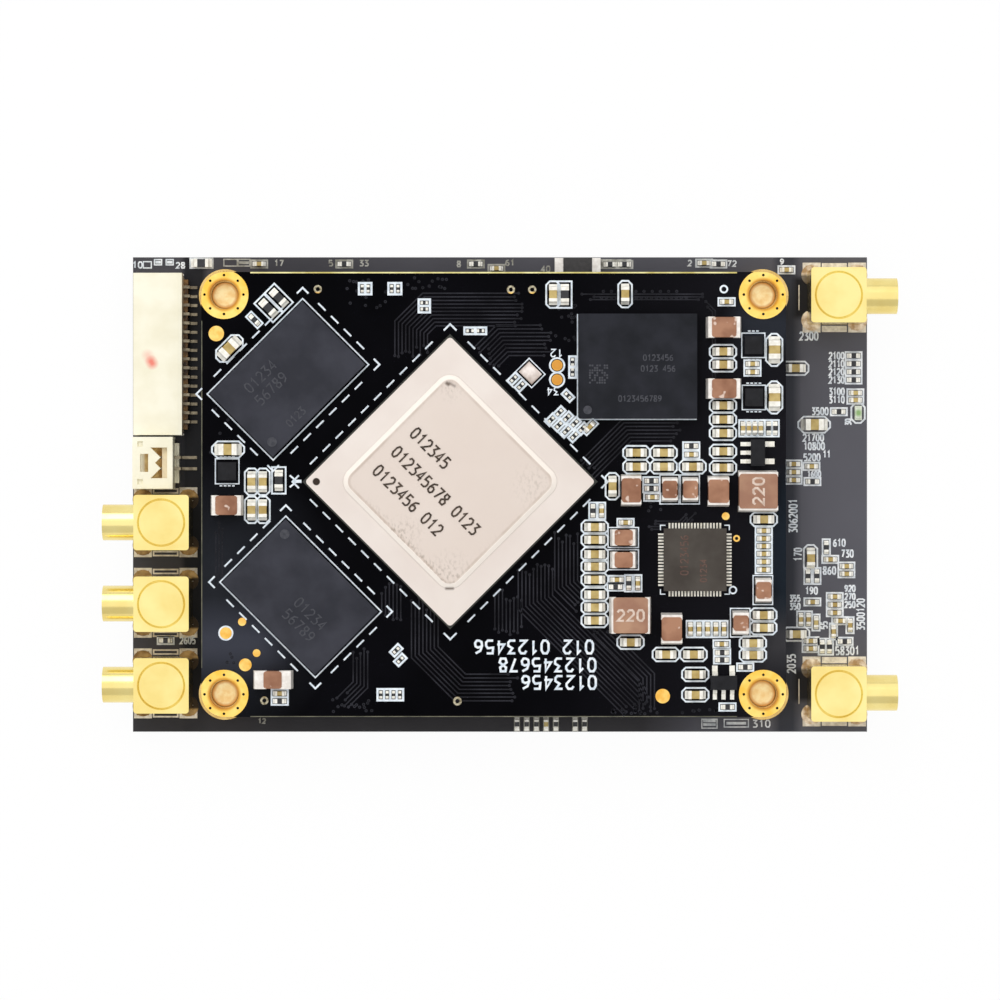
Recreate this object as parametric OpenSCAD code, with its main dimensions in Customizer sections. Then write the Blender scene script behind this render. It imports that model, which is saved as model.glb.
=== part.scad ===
// Video tracking board: a core board stacked on a carrier board with coaxial video jacks.
// Origin at the bottom centre, +X to the right along the long side, +Z up out of the board.
// Lengths are millimetres. The board rests on the heads of its four base screws.

/* [Core board] */
// Length of the core board along X
core_l = 64.5; // [64.5:0.5:72]
// Width of the core board along Y
core_w = 49.1; // [49.1:0.5:60]
// Thickness of the core board
core_t = 1.6; // [1:0.1:2]
// Radius of the core board's corners
core_corner_r = 2.6; // [1:0.1:2.8]
// Distance from the core board's edges to a hole's centre
core_hole_inset = 2.5; // [2.4:0.05:2.6]
// Diameter of a plated core hole
core_hole_d = 3.2; // [3:0.1:3.6]
// Diameter of the plating's flange on the board
hole_flange_d = 5.4; // [4.8:0.1:5.5]
// Thickness of the plating in the hole and on the faces
plating_t = 0.06; // [0.04:0.01:0.12]

/* [Carrier board] */
// Strip of the carrier board left of the core board
left_strip = 8.05; // [8:0.05:12]
// Strip of the carrier board right of the core board
right_strip = 9.45; // [9.45:0.05:14]
// Strip of the carrier board above and below the core board
side_strip = 1.95; // [1.95:0.05:6]
// Thickness of the carrier board
carrier_t = 1.6; // [1:0.1:2.4]
// Height of the gap between the two boards
stack_gap = 4; // [3.6:0.1:6]

/* [Screws and standoffs] */
// Diameter of the base screws' thread
screw_d = 2.9; // [2.5:0.1:3]
// Diameter of the base screws' pan heads
screw_head_d = 4.8; // [4:0.1:5.4]
// Height of the base screws' pan heads
screw_head_h = 1.7; // [1.5:0.1:2.4]
// Width of a base screw's cross slot
screw_slot_w = 0.5; // [0.3:0.05:0.8]
// Outer diameter of a standoff
standoff_d = 5.8; // [4.8:0.1:6]
// Clearance added to a screw's diameter in the carrier board
screw_hole_clearance = 0.7; // [0.6:0.05:0.9]
// Clearance round a screw in its threaded hole
thread_clearance = 0.05; // [0.05:0.01:0.1]
// Distance from a screw's end down to the core board's lower face from inside
screw_end_gap = 0.3; // [0.1:0.05:1]

/* [Board connectors] */
// Contacts in one row of a board connector
stack_contact_count = 20; // [10:1:20]
// Pitch of the board connectors' contacts
stack_pitch = 0.8; // [0.6:0.05:0.8]
// Width of a board connector's housing
stack_housing_w = 5.2; // [4.8:0.1:6]
// Length of housing past the last contact
stack_end_l = 1.9; // [1.4:0.1:2.4]
// Thickness of the lower board connector's walls
stack_wall = 0.8; // [0.6:0.05:1]
// Height of the upper board connector's base
stack_plug_base_h = 1; // [0.8:0.1:1.4]
// Width of a board connector's contact
stack_contact_w = 0.35; // [0.2:0.05:0.45]
// Thickness of a board connector's contact
stack_contact_t = 0.2; // [0.1:0.05:0.3]
// Distance along X between the centres of two board connectors
stack_spacing_x = 28; // [22:0.5:30]
// Distance along Y between the centres of two board connectors
stack_spacing_y = 34; // [26:0.5:36]

/* [Video jacks] */
// Side of a jack's square body
jack_w = 6.1; // [6:0.1:6.6]
// Height of a jack's body
jack_h = 6.2; // [5.8:0.1:7]
// Radius of a jack body's upright edges
jack_edge_r = 0.35; // [0.1:0.05:0.6]
// Distance from the carrier's edge in to a jack's outer face
jack_inset = 0.6; // [0.2:0.05:0.9]
// Height of the barrel's axis over the carrier
jack_axis_h = 3.1; // [2.9:0.05:3.4]
// Outer diameter of the barrel
barrel_d = 4; // [3.8:0.05:4.2]
// Length of the barrel in front of the body
barrel_l = 3.6; // [3:0.1:5]
// Diameter of the barrel's bore
barrel_bore_d = 3.4; // [3.2:0.05:3.5]
// Diameter of the cap pressed into the body's top
jack_cap_d = 5.05; // [4.6:0.05:5.2]
// Thickness of that cap
jack_cap_t = 0.7; // [0.5:0.05:1]
// Chamfer round the cap and round its seat
cap_chamfer = 0.1; // [0.05:0.05:0.25]
// Clearance between the cap and the side of its seat
cap_clearance = 0.05; // [0.03:0.01:0.1]
// Diameter of the body's inner shaft
jack_shaft_d = 3.4; // [3:0.1:3.8]
// Thickness of the body's floor
jack_floor_t = 1.2; // [0.8:0.1:1.3]
// Diameter of the centre contact
contact_d = 1; // [0.8:0.05:1.2]
// Diameter of the socket in the centre contact
contact_bore_d = 0.6; // [0.4:0.05:0.7]
// Depth of the socket in the centre contact
contact_bore_l = 2.2; // [1:0.1:2.6]
// Distance from the barrel's mouth back to the centre contact
contact_recess = 0.5; // [0.3:0.05:1]
// Length of barrel filled by the insulator behind its open bore
insulator_l = 1.6; // [1:0.1:2.2]
// Diameter of a jack's corner legs
leg_d = 0.9; // [0.7:0.05:1]
// Spacing of the corner legs along X and Y
leg_pitch = 5.08; // [4.8:0.02:5.1]
// Length of legs and contacts below the carrier
tail_l = 1.1; // [0.6:0.05:1.3]
// Clearance round a leg in the carrier's holes
leg_clearance = 0.1; // [0.05:0.05:0.15]
// Diameter of a leg's solder pad
leg_pad_d = 2.3; // [1.8:0.05:2.35]
// Thickness of the solder pads
pad_t = 0.06; // [0.04:0.01:0.1]
// Y of the three jacks on the left edge
left_jack_y = [-3.1, -12.1, -21.1];
// Y of the two jacks on the right edge
right_jack_y = [22, -22];

/* [Signal header] */
// Number of contacts in the signal header
signal_count = 16; // [8:1:16]
// Pitch of the signal header's contacts
signal_pitch = 1; // [0.8:0.05:1]
// Length of housing past the first and last contact
signal_end_l = 1.5; // [1.2:0.1:1.6]
// Depth of the signal header's housing along X
signal_depth = 5.4; // [5:0.1:5.6]
// Height of the signal header's housing
signal_h = 3; // [2.8:0.1:3.4]
// Y of the signal header's centre
signal_y = 15.6; // [15.4:0.1:16]

/* [Power header] */
// Number of contacts in the power header
power_count = 2; // [2:1:2]
// Pitch of the power header's contacts
power_pitch = 1.25; // [1:0.05:1.3]
// Length of housing past the first and last contact
power_end_l = 2.25; // [2:0.05:2.25]
// Depth of the power header's housing along X
power_depth = 4.45; // [4.2:0.05:4.8]
// Height of the power header's housing
power_h = 4.1; // [3.6:0.1:4.4]
// Y of the power header's centre
power_y = 3.5; // [3.5:0.05:3.6]

/* [Headers] */
// Distance from the carrier's edge in to a header's mouth
header_inset = 0.3; // [0.1:0.05:0.5]
// Thickness of a header's walls
header_wall = 0.65; // [0.5:0.05:0.8]
// Thickness of a header's rear wall
header_rear_t = 1.2; // [0.9:0.1:1.5]
// Length of the ledge behind a header, which carries the contacts' shoulders
header_ledge_l = 0.5; // [0.3:0.05:0.7]
// Height of that ledge
header_ledge_h = 1.2; // [0.9:0.1:1.4]
// Width of a header's contact
header_contact_w = 0.32; // [0.2:0.02:0.4]
// Thickness of a header's contact
header_contact_t = 0.24; // [0.16:0.02:0.3]
// Length of a signal contact's foot behind the ledge
signal_foot_l = 1; // [0.7:0.05:1.2]
// Length of a power contact's foot behind the ledge
power_foot_l = 1.9; // [1:0.1:2]
// Width of a header's solder anchor, let into the end wall
anchor_w = 0.4; // [0.3:0.05:0.45]
// Length of a header's solder anchor
anchor_l = 1.9; // [1.4:0.1:2.2]
// Height of a header's solder anchor
anchor_h = 1.4; // [0.8:0.1:1.8]
// Thickness of a header's solder anchor
anchor_t = 0.2; // [0.1:0.05:0.25]

/* [Processor] */
// Side of the processor's square substrate
processor_w = 23; // [20:0.5:24]
// Rim of substrate left round the processor's metal lid
processor_lid_inset = 0.2; // [0.1:0.05:0.6]
// Side of the lid's raised middle
processor_plateau_w = 16.7; // [12:0.1:17]
// Width of the slope round the raised middle
processor_slope_w = 0.55; // [0.2:0.05:0.8]
// Radius of the raised middle's corners
processor_plateau_r = 1.3; // [0.5:0.1:2]
// Thickness of the substrate
processor_substrate_t = 0.7; // [0.5:0.05:1.2]
// Thickness of the lid's rim
processor_rim_t = 0.5; // [0.3:0.05:0.8]
// Height of the lid's raised middle over its rim
processor_plateau_t = 0.45; // [0.2:0.05:0.8]
// Pitch of the processor's solder balls
processor_ball_pitch = 1; // [1:0.05:1.27]
// X of the processor's centre from the core board's centre
processor_x = -4.8; // [-5:0.1:-4.6]
// Y of the processor's centre
processor_y = 1.4; // [1.2:0.1:1.6]

/* [Memory and storage chips] */
// Length of a memory chip
memory_l = 14.4; // [12:0.1:14.6]
// Width of a memory chip
memory_w = 9.8; // [8:0.1:10]
// Thickness of the memory and storage chips' bodies
memory_t = 0.85; // [0.6:0.05:1.2]
// Length of the flash storage chip along X
flash_l = 13; // [11:0.1:13]
// Width of the flash storage chip along Y
flash_w = 11.5; // [10:0.1:11.5]
// Pitch of the memory and storage chips' solder balls
memory_ball_pitch = 0.8; // [0.8:0.05:1]
// Diameter of the round mark moulded by a chip's first contact
chip_mark_d = 1; // [0.6:0.1:1.2]
// Diameter of all solder balls
ball_d = 0.45; // [0.35:0.05:0.5]
// Height of all solder balls
ball_h = 0.3; // [0.2:0.05:0.4]

/* [Power controller] */
// Side of the power controller's square body
controller_w = 6.9; // [6.7:0.1:7]
// Thickness of the power controller's body
controller_t = 0.85; // [0.6:0.05:1]
// Number of the power controller's pads along one side
controller_pad_count = 17; // [8:1:17]
// Pitch of the power controller's pads
controller_pad_pitch = 0.35; // [0.3:0.01:0.36]
// Width of one pad
controller_pad_w = 0.2; // [0.12:0.01:0.22]
// Length of pad in front of the body
controller_pad_l = 0.6; // [0.4:0.05:0.7]

/* [Power parts] */
// Length of the filter inductor on the carrier
filter_l = 5.1; // [4.6:0.1:5.2]
// Width of the filter inductor
filter_w = 3.1; // [2.8:0.1:3.4]
// Height of the filter inductor
filter_h = 2; // [1.6:0.1:2.6]
// Diameter of the filter inductor's drum
filter_drum_d = 2.6; // [2:0.1:2.8]
// Height of the power inductors
inductor_h = 2.1; // [1.5:0.1:3]
// Height of the bulk capacitors
bulk_h = 1.7; // [1:0.1:2.5]
// Radius of a power part's upright edges
power_edge_r = 0.3; // [0.2:0.05:0.35]

/* [Chip parts] */
// Length of the widest chip parts
wide_chip_l = 2; // [1.8:0.05:2.1]
// Width of the widest chip parts
wide_chip_w = 1.25; // [1.1:0.05:1.3]
// Height of the widest chip parts
wide_chip_h = 1; // [0.6:0.05:1.3]
// Length of the large chip parts
large_chip_l = 1.6; // [1.5:0.02:1.64]
// Width of the large chip parts
large_chip_w = 0.9; // [0.7:0.05:0.95]
// Height of the large chip parts
large_chip_h = 0.8; // [0.4:0.05:1]
// Length of the medium chip parts
medium_chip_l = 1; // [0.9:0.02:1.04]
// Width of the medium chip parts
medium_chip_w = 0.5; // [0.4:0.05:0.55]
// Height of the medium chip parts
medium_chip_h = 0.5; // [0.3:0.05:0.7]
// Length of the small chip parts
small_chip_l = 0.6; // [0.55:0.01:0.62]
// Width of the small chip parts
small_chip_w = 0.32; // [0.25:0.01:0.34]
// Height of the small chip parts
small_chip_h = 0.3; // [0.2:0.05:0.4]
// Height of a chip resistor over its width
resistor_flatness = 0.6; // [0.4:0.05:0.8]

/* [Hidden] */
$fn = 48;
EPS = 0.01;

// Board outlines and levels, all from the driving dimensions
carrier_l = left_strip + core_l + right_strip;
carrier_w = core_w + 2 * side_strip;
core_x = (left_strip - right_strip) / 2;
carrier_bottom = screw_head_h;
carrier_top = carrier_bottom + carrier_t;
core_bottom = carrier_top + stack_gap;
core_top = core_bottom + core_t;
hole_x = core_l / 2 - core_hole_inset;
hole_y = core_w / 2 - core_hole_inset;
screw_hole_d = screw_d + screw_hole_clearance;

// Board connector sizes
stack_row_l = (stack_contact_count - 1) * stack_pitch;
stack_l = stack_row_l + 2 * stack_end_l;
stack_mating_gap = 0.1;
stack_floor_t = 0.6;
stack_tongue_gap = 0.3;
stack_foot_l = 0.6;
stack_socket_h = stack_gap - stack_plug_base_h - stack_mating_gap;
stack_cavity_w = stack_housing_w - 2 * stack_wall;
stack_tongue_w = stack_cavity_w - 2 * stack_contact_t - stack_tongue_gap;
stack_tongue_h = stack_socket_h - stack_floor_t - stack_tongue_gap;

// Video jack sizes
jack_x = carrier_l / 2 - jack_inset - jack_w / 2;
jack_bottom = carrier_top + pad_t;
jack_seat_d = jack_cap_d + 2 * cap_clearance;
insulator_gap = 0.2;
insulator_front = jack_w / 2 + barrel_l - contact_recess - contact_bore_l - insulator_gap;
insulator_back = insulator_front - insulator_l;
leg_hole_d = leg_d + 2 * leg_clearance;
contact_tail_d = 0.8;
bush_d = 2;
via_d = 0.3;
via_count = 8;

// Header lengths
signal_l = (signal_count - 1) * signal_pitch + 2 * signal_end_l;
power_l = (power_count - 1) * power_pitch + 2 * power_end_l;
header_x = -carrier_l / 2 + header_inset;
signal_contact_reach = 2.6;
power_contact_reach = 1.6;
// The power header's roof, from the middle of its mouth: latch slot, toothed window, dimples
latch_slot = [0.85, 0.9, 2];
toothed_window = [[2, 1.7], [3.1, 0.6], [2.5, 0], [3.1, -0.6], [2, -1.7], [3.85, -1.7], [3.85, 1.7]];
dimple_w = 0.6;
dimple_place = [0.85, 2.1];

// Chip part size classes: length, width, height, end length, solder reach
WIDE = [wide_chip_l, wide_chip_w, wide_chip_h, 0.55, 0.5];
LARGE = [large_chip_l, large_chip_w, large_chip_h, 0.36, 0.36];
MEDIUM = [medium_chip_l, medium_chip_w, medium_chip_h, 0.24, 0.24];
SMALL = [small_chip_l, small_chip_w, small_chip_h, 0.15, 0.12];

// Grid of the core board's layout, which spreads with the board. A place is X and Y in
// grid steps from the board's centre
grid_columns = 645;
grid_rows = 491;
grid_x = core_l / grid_columns;
grid_y = core_w / grid_rows;

// Grid place at a distance from a core hole, which lies to the sides sx and sy
function from_hole(sx, sy, dx, dy) = [(sx * hole_x + dx) / grid_x, (sy * hole_y + dy) / grid_y];

// Grid place at a distance from a chip's centre
function from_chip(chip, dx, dy) = [chip[0] + dx / grid_x, chip[1] + dy / grid_y];

// Grid places of the larger chips, with their turns
upper_memory_place = [-227, 127, 45];
lower_memory_place = [-213, -113, 135];
flash_place = [159, 141.5];
controller_place = [222, -72];
crystal_place = [40.5, 134, -45];
processor_place = [processor_x / grid_x, processor_y / grid_y, 45];

// Capacitors on the core board: grid place, turn, size class
core_capacitors = [
    for (y = [98, 82.5, 67.5, 47.5, 29.5, 157.5, 143]) [253, y, 0, LARGE],
    for (y = [46, 30.5]) [157.5, y, 0, LARGE],
    for (y = [46, 30.5]) [187.5, y, 0, LARGE],
    [219.5, 30.5, 0, LARGE],
    [131, 9, 90, LARGE],
    for (y = [-36, -50, -66, -79.5, -94, -110.5, -124.5, -139]) [111.5, y, 0, LARGE],
    [151, -163, 0, LARGE],
    [190, -176.5, 0, LARGE],
    [220.5, -176.5, 0, LARGE],
    for (dy = [2.2, -0.05]) [each from_hole(1, -1, -7.5, dy), 0, LARGE],
    [298, -27.5, 0, LARGE],
    for (y = [-133, -147]) [297.5, y, 0, LARGE],
    for (y = [-164, -177]) [286, y, 0, LARGE],
    [65.5, 220.5, 90, LARGE],
    [145, 221, 90, LARGE],
    for (y = [14, -17]) [-267, y, 90, LARGE],
    for (y = [14, -17]) [-254.5, y, 90, LARGE],
    [-293, 49.5, 0, WIDE],
    [-291.5, 161, 45, WIDE],
    [309.5, 159.5, 90, WIDE],
    [309.5, 107, 90, WIDE],
    for (y = [-40, -48.7, -57, -65.5, -74.2, -83]) [298, y, 0, MEDIUM],
    for (x = [217, 226.5, 236, 245, 254]) [x, -148.5, 90, MEDIUM],
    for (x = [275, 281.5, 288, 294.5]) [x, 73, 90, MEDIUM],
    for (y = [144, 135]) [285.5, y, 0, MEDIUM],
    [257, 212.5, 0, MEDIUM],
    [145.5, -31, 0, MEDIUM],
    [136, -94, 0, MEDIUM],
    [159, -98, 90, MEDIUM],
    [251.5, -165, 0, MEDIUM],
    [119, -18, 90, MEDIUM],
    [175, -3, 0, MEDIUM],
    [218, 44, 0, MEDIUM],
    [each from_chip(flash_place, -5.3, -6.7), 45, MEDIUM],
    [each from_hole(-1, -1, 6.15, 0.1), 0, MEDIUM]
];

// Resistors on the core board: grid place, turn, size class
core_resistors = [
    [78.5, 220.5, 90, LARGE],
    [-248.5, 205.5, -45, LARGE],
    [-237, 217, -45, LARGE],
    [-237, 15.5, 90, LARGE],
    for (y = [15, 6.5]) [174, y, 0, MEDIUM],
    [218, 53.5, 0, MEDIUM],
    [109.5, -18, 90, MEDIUM],
    [134.5, -102, 0, MEDIUM],
    [149, -98, 90, MEDIUM],
    for (y = [-174.5, -182.5]) [252, y, 0, MEDIUM],
    [each from_hole(1, -1, -2, 3), 0, MEDIUM],
    [each from_hole(1, -1, -3.95, -1.4), 0, MEDIUM],
    [each from_hole(-1, -1, 6.15, -0.75), 0, MEDIUM],
    [-264, 192.5, -45, MEDIUM],
    for (x = [303.5, 310.5]) [x, 73, 90, MEDIUM],
    [-107.5, -172, 45, SMALL],
    [-103, -182.5, 45, SMALL],
    for (x = [-124.5, -117.5, -110.5, -103.5]) [x, -221, 90, SMALL],
    for (x = [-145, -138.5, -112.5, -105.5]) [x, 227, 90, SMALL],
    for (y = [211.5, 204.5]) [-76.5, y, 0, SMALL],
    for (x = [-26, -14.5]) [x, 180.5, 0, SMALL],
    for (dy = [0.45, -0.65]) [each from_chip(flash_place, -7.2, dy), 90, SMALL],
    [82, 109, -45, SMALL],
    [22, 127.5, 45, SMALL],
    [30, 120, 45, SMALL],
    for (row = [0, 1], step = [0:3])
        [each from_chip(flash_place, -9.55 + 0.85 * step + 0.9 * row,
                        -5.9 - 0.6 * step + 0.8 * row), 45, SMALL]
];

// Capacitors on the carrier's right strip: distance in from the right edge, Y, turn, size
right_strip_capacitors = [
    [8, 14.1, 0, LARGE],
    for (y = [11.35, 10.55]) [1.3, y, 0, MEDIUM],
    [5.9, 7.8, 0, WIDE],
    for (y = [3.4, 2.5, 1.6]) [8.2, y, 0, MEDIUM],
    [6.2, 3.15, 0, MEDIUM],
    [6.3, -7.1, 90, LARGE],
    [4.1, -7.25, 0, MEDIUM],
    for (y = [-8, -8.85]) [2.3, y, 0, MEDIUM],
    [6.1, -12, 0, MEDIUM],
    for (y = [-11.4, -12.3, -13.2]) [3.6, y, 0, MEDIUM],
    [3, -14.1, 0, MEDIUM],
    [3.75, -15.3, 90, MEDIUM],
    [1.9, -14.6, 90, MEDIUM],
    [5.7, -14.3, 90, MEDIUM],
    for (x = [7.4, 6.55]) [x, -13.95, 90, MEDIUM],
    [7.9, -15.6, 0, LARGE],
    for (y = [-16.35, -17.2]) [6.3, y, 0, MEDIUM]
];

// Resistors on the carrier's right strip, in the same way
right_strip_resistors = [
    for (y = [15.5, 14.6, 13.7, 12.8]) [1.5, y, 0, MEDIUM],
    [3.15, 9.25, 0, MEDIUM],
    [6.1, 1.45, 0, MEDIUM],
    [4.55, -5.9, 90, MEDIUM],
    for (x = [6.6, 5.6]) [x, -9.1, 90, MEDIUM],
    for (x = [5, 4.2]) [x, -17, 90, MEDIUM],
    [2.5, -16.4, 0, MEDIUM]
];

// Parts on the carrier's upper strip: X, distance in from the upper edge, turn, size
upper_strip_capacitors = [[-26.9, 0.75, 0, MEDIUM], [-0.4, 1.25, 0, MEDIUM],
                          [22.8, 0.65, 0, MEDIUM], [32, 1.4, 0, MEDIUM]];
upper_strip_resistors = [[-33.35, 0.65, 0, LARGE], [-17.4, 0.75, 0, MEDIUM],
                         [-2.7, 0.75, 0, MEDIUM], [12.3, 0.8, 0, MEDIUM],
                         [13.9, 0.8, 0, MEDIUM], [24.4, 0.75, 0, MEDIUM]];

// Parts on the carrier's lower strip: X, distance in from the lower edge, turn, size
lower_strip_capacitors = [[5.15, 0.85, 90, MEDIUM]];
lower_strip_resistors = [for (x = [1.9, 2.98, 4.07, 6.24, 8.4, 9.45]) [x, 0.85, 90, MEDIUM]];

// The one resistor on the carrier's left strip: distance in from the left edge, Y, turn, size
left_strip_resistors = [[3.65, -16.3, 0, MEDIUM]];

// Places on the carrier from the lists of its four strips
function on_strips(right, upper, lower, left) = [
    for (p = right) [carrier_l / 2 - p[0], p[1], p[2], p[3]],
    for (p = upper) [p[0], carrier_w / 2 - p[1], p[2], p[3]],
    for (p = lower) [p[0], p[1] - carrier_w / 2, p[2], p[3]],
    for (p = left) [p[0] - carrier_l / 2, p[1], p[2], p[3]]
];
carrier_capacitors = on_strips(right_strip_capacitors, upper_strip_capacitors,
                               lower_strip_capacitors, []);
carrier_resistors = on_strips(right_strip_resistors, upper_strip_resistors,
                              lower_strip_resistors, left_strip_resistors);

// Bulk capacitors on the core board: grid place, turn, length, width, end length
bulk_places = [
    [253.5, 184, 0, 3.9, 2.3, 0.6],
    [253.5, 116.5, 0, 3.9, 2.2, 0.6],
    [151.5, 4.5, 90, 3.5, 2.2, 0.42],
    [194, 5.5, 90, 2.75, 1.7, 0.42],
    [216.5, 5.5, 90, 2.75, 1.7, 0.42],
    [247.5, 3.5, 90, 3.4, 2.35, 0.42],
    [143, -47.5, 0, 2.9, 1.8, 0.45],
    [143, -72, 0, 2.9, 1.8, 0.45],
    [196, -148, 90, 3.5, 2.3, 0.45],
    [272, -141.5, 90, 2.7, 1.75, 0.5],
    [297, -105.5, 90, 2.75, 1.75, 0.45],
    [each from_hole(-1, -1, 5.45, 1.65), 0, 4.4, 2, 1.2],
    [-294, -12, 0, 3.6, 2.2, 0.6]
];

// Power inductors: grid place, turn, length, width, end length
inductor_places = [
    [150.5, -133, 0, 4.6, 4, 0.4],
    [291, 3.5, 90, 4.6, 4.3, 0.4]
];

// Filter inductor: X, distance of its far side in from the carrier's upper edge
filter_place = [8.65, 0.15];

// Small leadless regulators: grid place, side
leadless_places = [[286.5, 164.5, 1.95], [287, 107, 1.95], [-294, 25.5, 2]];
// Five lead regulators: grid place, turn
leaded_places = [[291, 46, 90], [from_hole(1, -1, -4.4, 0)[0], -207.5, 180]];
leaded_body = [2.9, 1.55, 1.1];
leaded_standoff = 0.1;
leadless_t = 0.75;

// Gold test pads on the core board: grid place, diameter
test_pad_places = [
    [-306, 177.5, 1.7], [-295.5, -153, 1.3], [-277.5, -140.5, 0.9], [-261.5, -175, 0.85],
    [each from_hole(-1, -1, 2.35, 3.25), 1.4], [186.5, -222.5, 1.6], [256, -24, 0.85], [70, 142.5, 1.2],
    [70, 126.5, 1.2]
];
// Ring shaped test pads: grid place, outer diameter
ring_pad_places = [
    [19, 226, 0.9], [42.5, 226, 0.9], [-194, 226.5, 0.9], [-40, -228, 0.95],
    [each from_hole(-1, -1, 4.45, -0.7), 0.9], [each from_chip(controller_place, 4.6, 2.35), 0.75]
];

// Square or oblong with round corners
module rounded_rect(l, w, r) {
    square([l - 2 * r, w], center = true);
    square([l, w - 2 * r], center = true);
    for (sx = [-1, 1], sy = [-1, 1])
        translate([sx * (l / 2 - r), sy * (w / 2 - r)]) circle(r, $fn = 32);
}

// Children at the four core holes
module at_core_holes() {
    for (sx = [-1, 1], sy = [-1, 1])
        translate([core_x + sx * hole_x, sy * hole_y, 0]) children();
}

// Children at the four board connectors
module at_board_connectors() {
    for (sx = [-1, 1], sy = [-1, 1])
        translate([core_x + sx * stack_spacing_x / 2, sy * stack_spacing_y / 2, 0]) children();
}

// Children on the core board's top face, at a grid place
module on_core(place) {
    translate([core_x + place[0] * grid_x, place[1] * grid_y, core_top])
        rotate([0, 0, len(place) > 2 ? place[2] : 0]) children();
}

// Children at a jack: side is -1 on the left edge and 1 on the right
module at_jack(side, y) {
    translate([side * jack_x, y, 0]) rotate([0, 0, side < 0 ? 180 : 0]) children();
}

module at_jack_legs() {
    for (sx = [-1, 1], sy = [-1, 1])
        translate([sx * leg_pitch / 2, sy * leg_pitch / 2, 0]) children();
}

module at_all_jacks() {
    for (y = left_jack_y) at_jack(-1, y) children();
    for (y = right_jack_y) at_jack(1, y) children();
}

module carrier_board() {
    color("#3e3c42") difference() {
        translate([-carrier_l / 2, -carrier_w / 2, carrier_bottom])
            cube([carrier_l, carrier_w, carrier_t]);
        at_core_holes() cylinder(h = 4 * carrier_top, d = screw_hole_d, center = true);
        at_all_jacks() {
            cylinder(h = 4 * carrier_top, d = contact_tail_d + 2 * leg_clearance, center = true);
            at_jack_legs() cylinder(h = 4 * carrier_top, d = leg_hole_d, center = true);
        }
    }
}

module core_board() {
    color("#101014") difference() {
        translate([core_x, 0, core_bottom])
            linear_extrude(core_t) rounded_rect(core_l, core_w, core_corner_r);
        at_core_holes() cylinder(h = 4 * core_top, d = core_hole_d + 2 * plating_t, center = true);
    }
}

// Gold eyelet in each core hole, flush with the board's rounded corner
module core_hole_plating() {
    color("#fad75f") intersection() {
        translate([core_x, 0, 0])
            linear_extrude(2 * core_top) rounded_rect(core_l, core_w, core_corner_r);
        at_core_holes() difference() {
            translate([0, 0, core_bottom - plating_t]) union() {
                cylinder(h = core_t + 2 * plating_t, d = core_hole_d + 2 * plating_t);
                cylinder(h = plating_t, d = hole_flange_d);
                translate([0, 0, core_t + plating_t]) cylinder(h = plating_t, d = hole_flange_d);
            }
            cylinder(h = 4 * core_top, d = core_hole_d, center = true);
            for (i = [0:via_count - 1])
                rotate([0, 0, i * 360 / via_count])
                    translate([(core_hole_d + hole_flange_d) / 4, 0, core_top - plating_t])
                        cylinder(h = 3 * plating_t, d = via_d);
        }
    }
}

module standoffs() {
    color("#d9b36a") at_core_holes() translate([0, 0, carrier_top]) difference() {
        cylinder(h = stack_gap - plating_t, d = standoff_d);
        cylinder(h = 4 * stack_gap, d = screw_d + 2 * thread_clearance, center = true);
    }
}

// Pan head screws put in from below, which the board stands on
module base_screws() {
    head_r = screw_head_d / 2;
    flat_inset = 0.8;
    shoulder_inset = 0.25;
    shoulder_h = 0.3;
    side_h = 0.9;
    slot_l = screw_head_d * 0.6;
    slot_depth = 0.8;
    color("#c9b48c") at_core_holes() difference() {
        union() {
            rotate_extrude() polygon([
                [0, 0], [head_r - flat_inset, 0], [head_r - shoulder_inset, shoulder_h],
                [head_r, side_h], [head_r, screw_head_h], [0, screw_head_h]
            ]);
            cylinder(h = core_bottom - screw_end_gap, d = screw_d);
        }
        for (turn = [0, 90])
            rotate([0, 0, turn]) cube([slot_l, screw_slot_w, 2 * slot_depth], center = true);
    }
}

// Lower halves of the board connectors, open on top
module stack_sockets() {
    color("#26262a") at_board_connectors() translate([0, 0, carrier_top]) difference() {
        translate([-stack_l / 2, -stack_housing_w / 2, 0])
            cube([stack_l, stack_housing_w, stack_socket_h]);
        translate([-stack_l / 2 + stack_wall, -stack_cavity_w / 2, stack_floor_t])
            cube([stack_l - 2 * stack_wall, stack_cavity_w, stack_socket_h]);
    }
}

// One row of parts along a board connector
module stack_row() {
    for (i = [0:stack_contact_count - 1])
        translate([(i - (stack_contact_count - 1) / 2) * stack_pitch, 0, 0]) children();
}

module stack_socket_contacts() {
    color("#c8b070") at_board_connectors() translate([0, 0, carrier_top])
        for (side = [-1, 1]) stack_row() scale([1, side, 1])
            translate([-stack_contact_w / 2, stack_housing_w / 2, 0])
                cube([stack_contact_w, stack_foot_l, stack_contact_t]);
}

// Upper halves, with a tongue that stands in the lower half
module stack_plugs() {
    color("#26262a") at_board_connectors() {
        translate([-stack_l / 2, -stack_housing_w / 2, core_bottom - stack_plug_base_h])
            cube([stack_l, stack_housing_w, stack_plug_base_h]);
        translate([-stack_row_l / 2 - stack_wall, -stack_tongue_w / 2,
                   core_bottom - stack_plug_base_h - stack_tongue_h])
            cube([stack_row_l + 2 * stack_wall, stack_tongue_w, stack_tongue_h + EPS]);
    }
}

module stack_plug_contacts() {
    color("#c8b070") at_board_connectors() translate([0, 0, core_bottom - stack_contact_t])
        for (side = [-1, 1]) stack_row() scale([1, side, 1])
            translate([-stack_contact_w / 2, stack_housing_w / 2, 0])
                cube([stack_contact_w, stack_foot_l, stack_contact_t]);
}

// Cylinder along the jack's barrel, from one X to another, on the barrel's axis
module along_barrel(x0, x1, d) {
    translate([x0, 0, carrier_top + jack_axis_h]) rotate([0, 90, 0])
        cylinder(h = x1 - x0, d = d);
}

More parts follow.
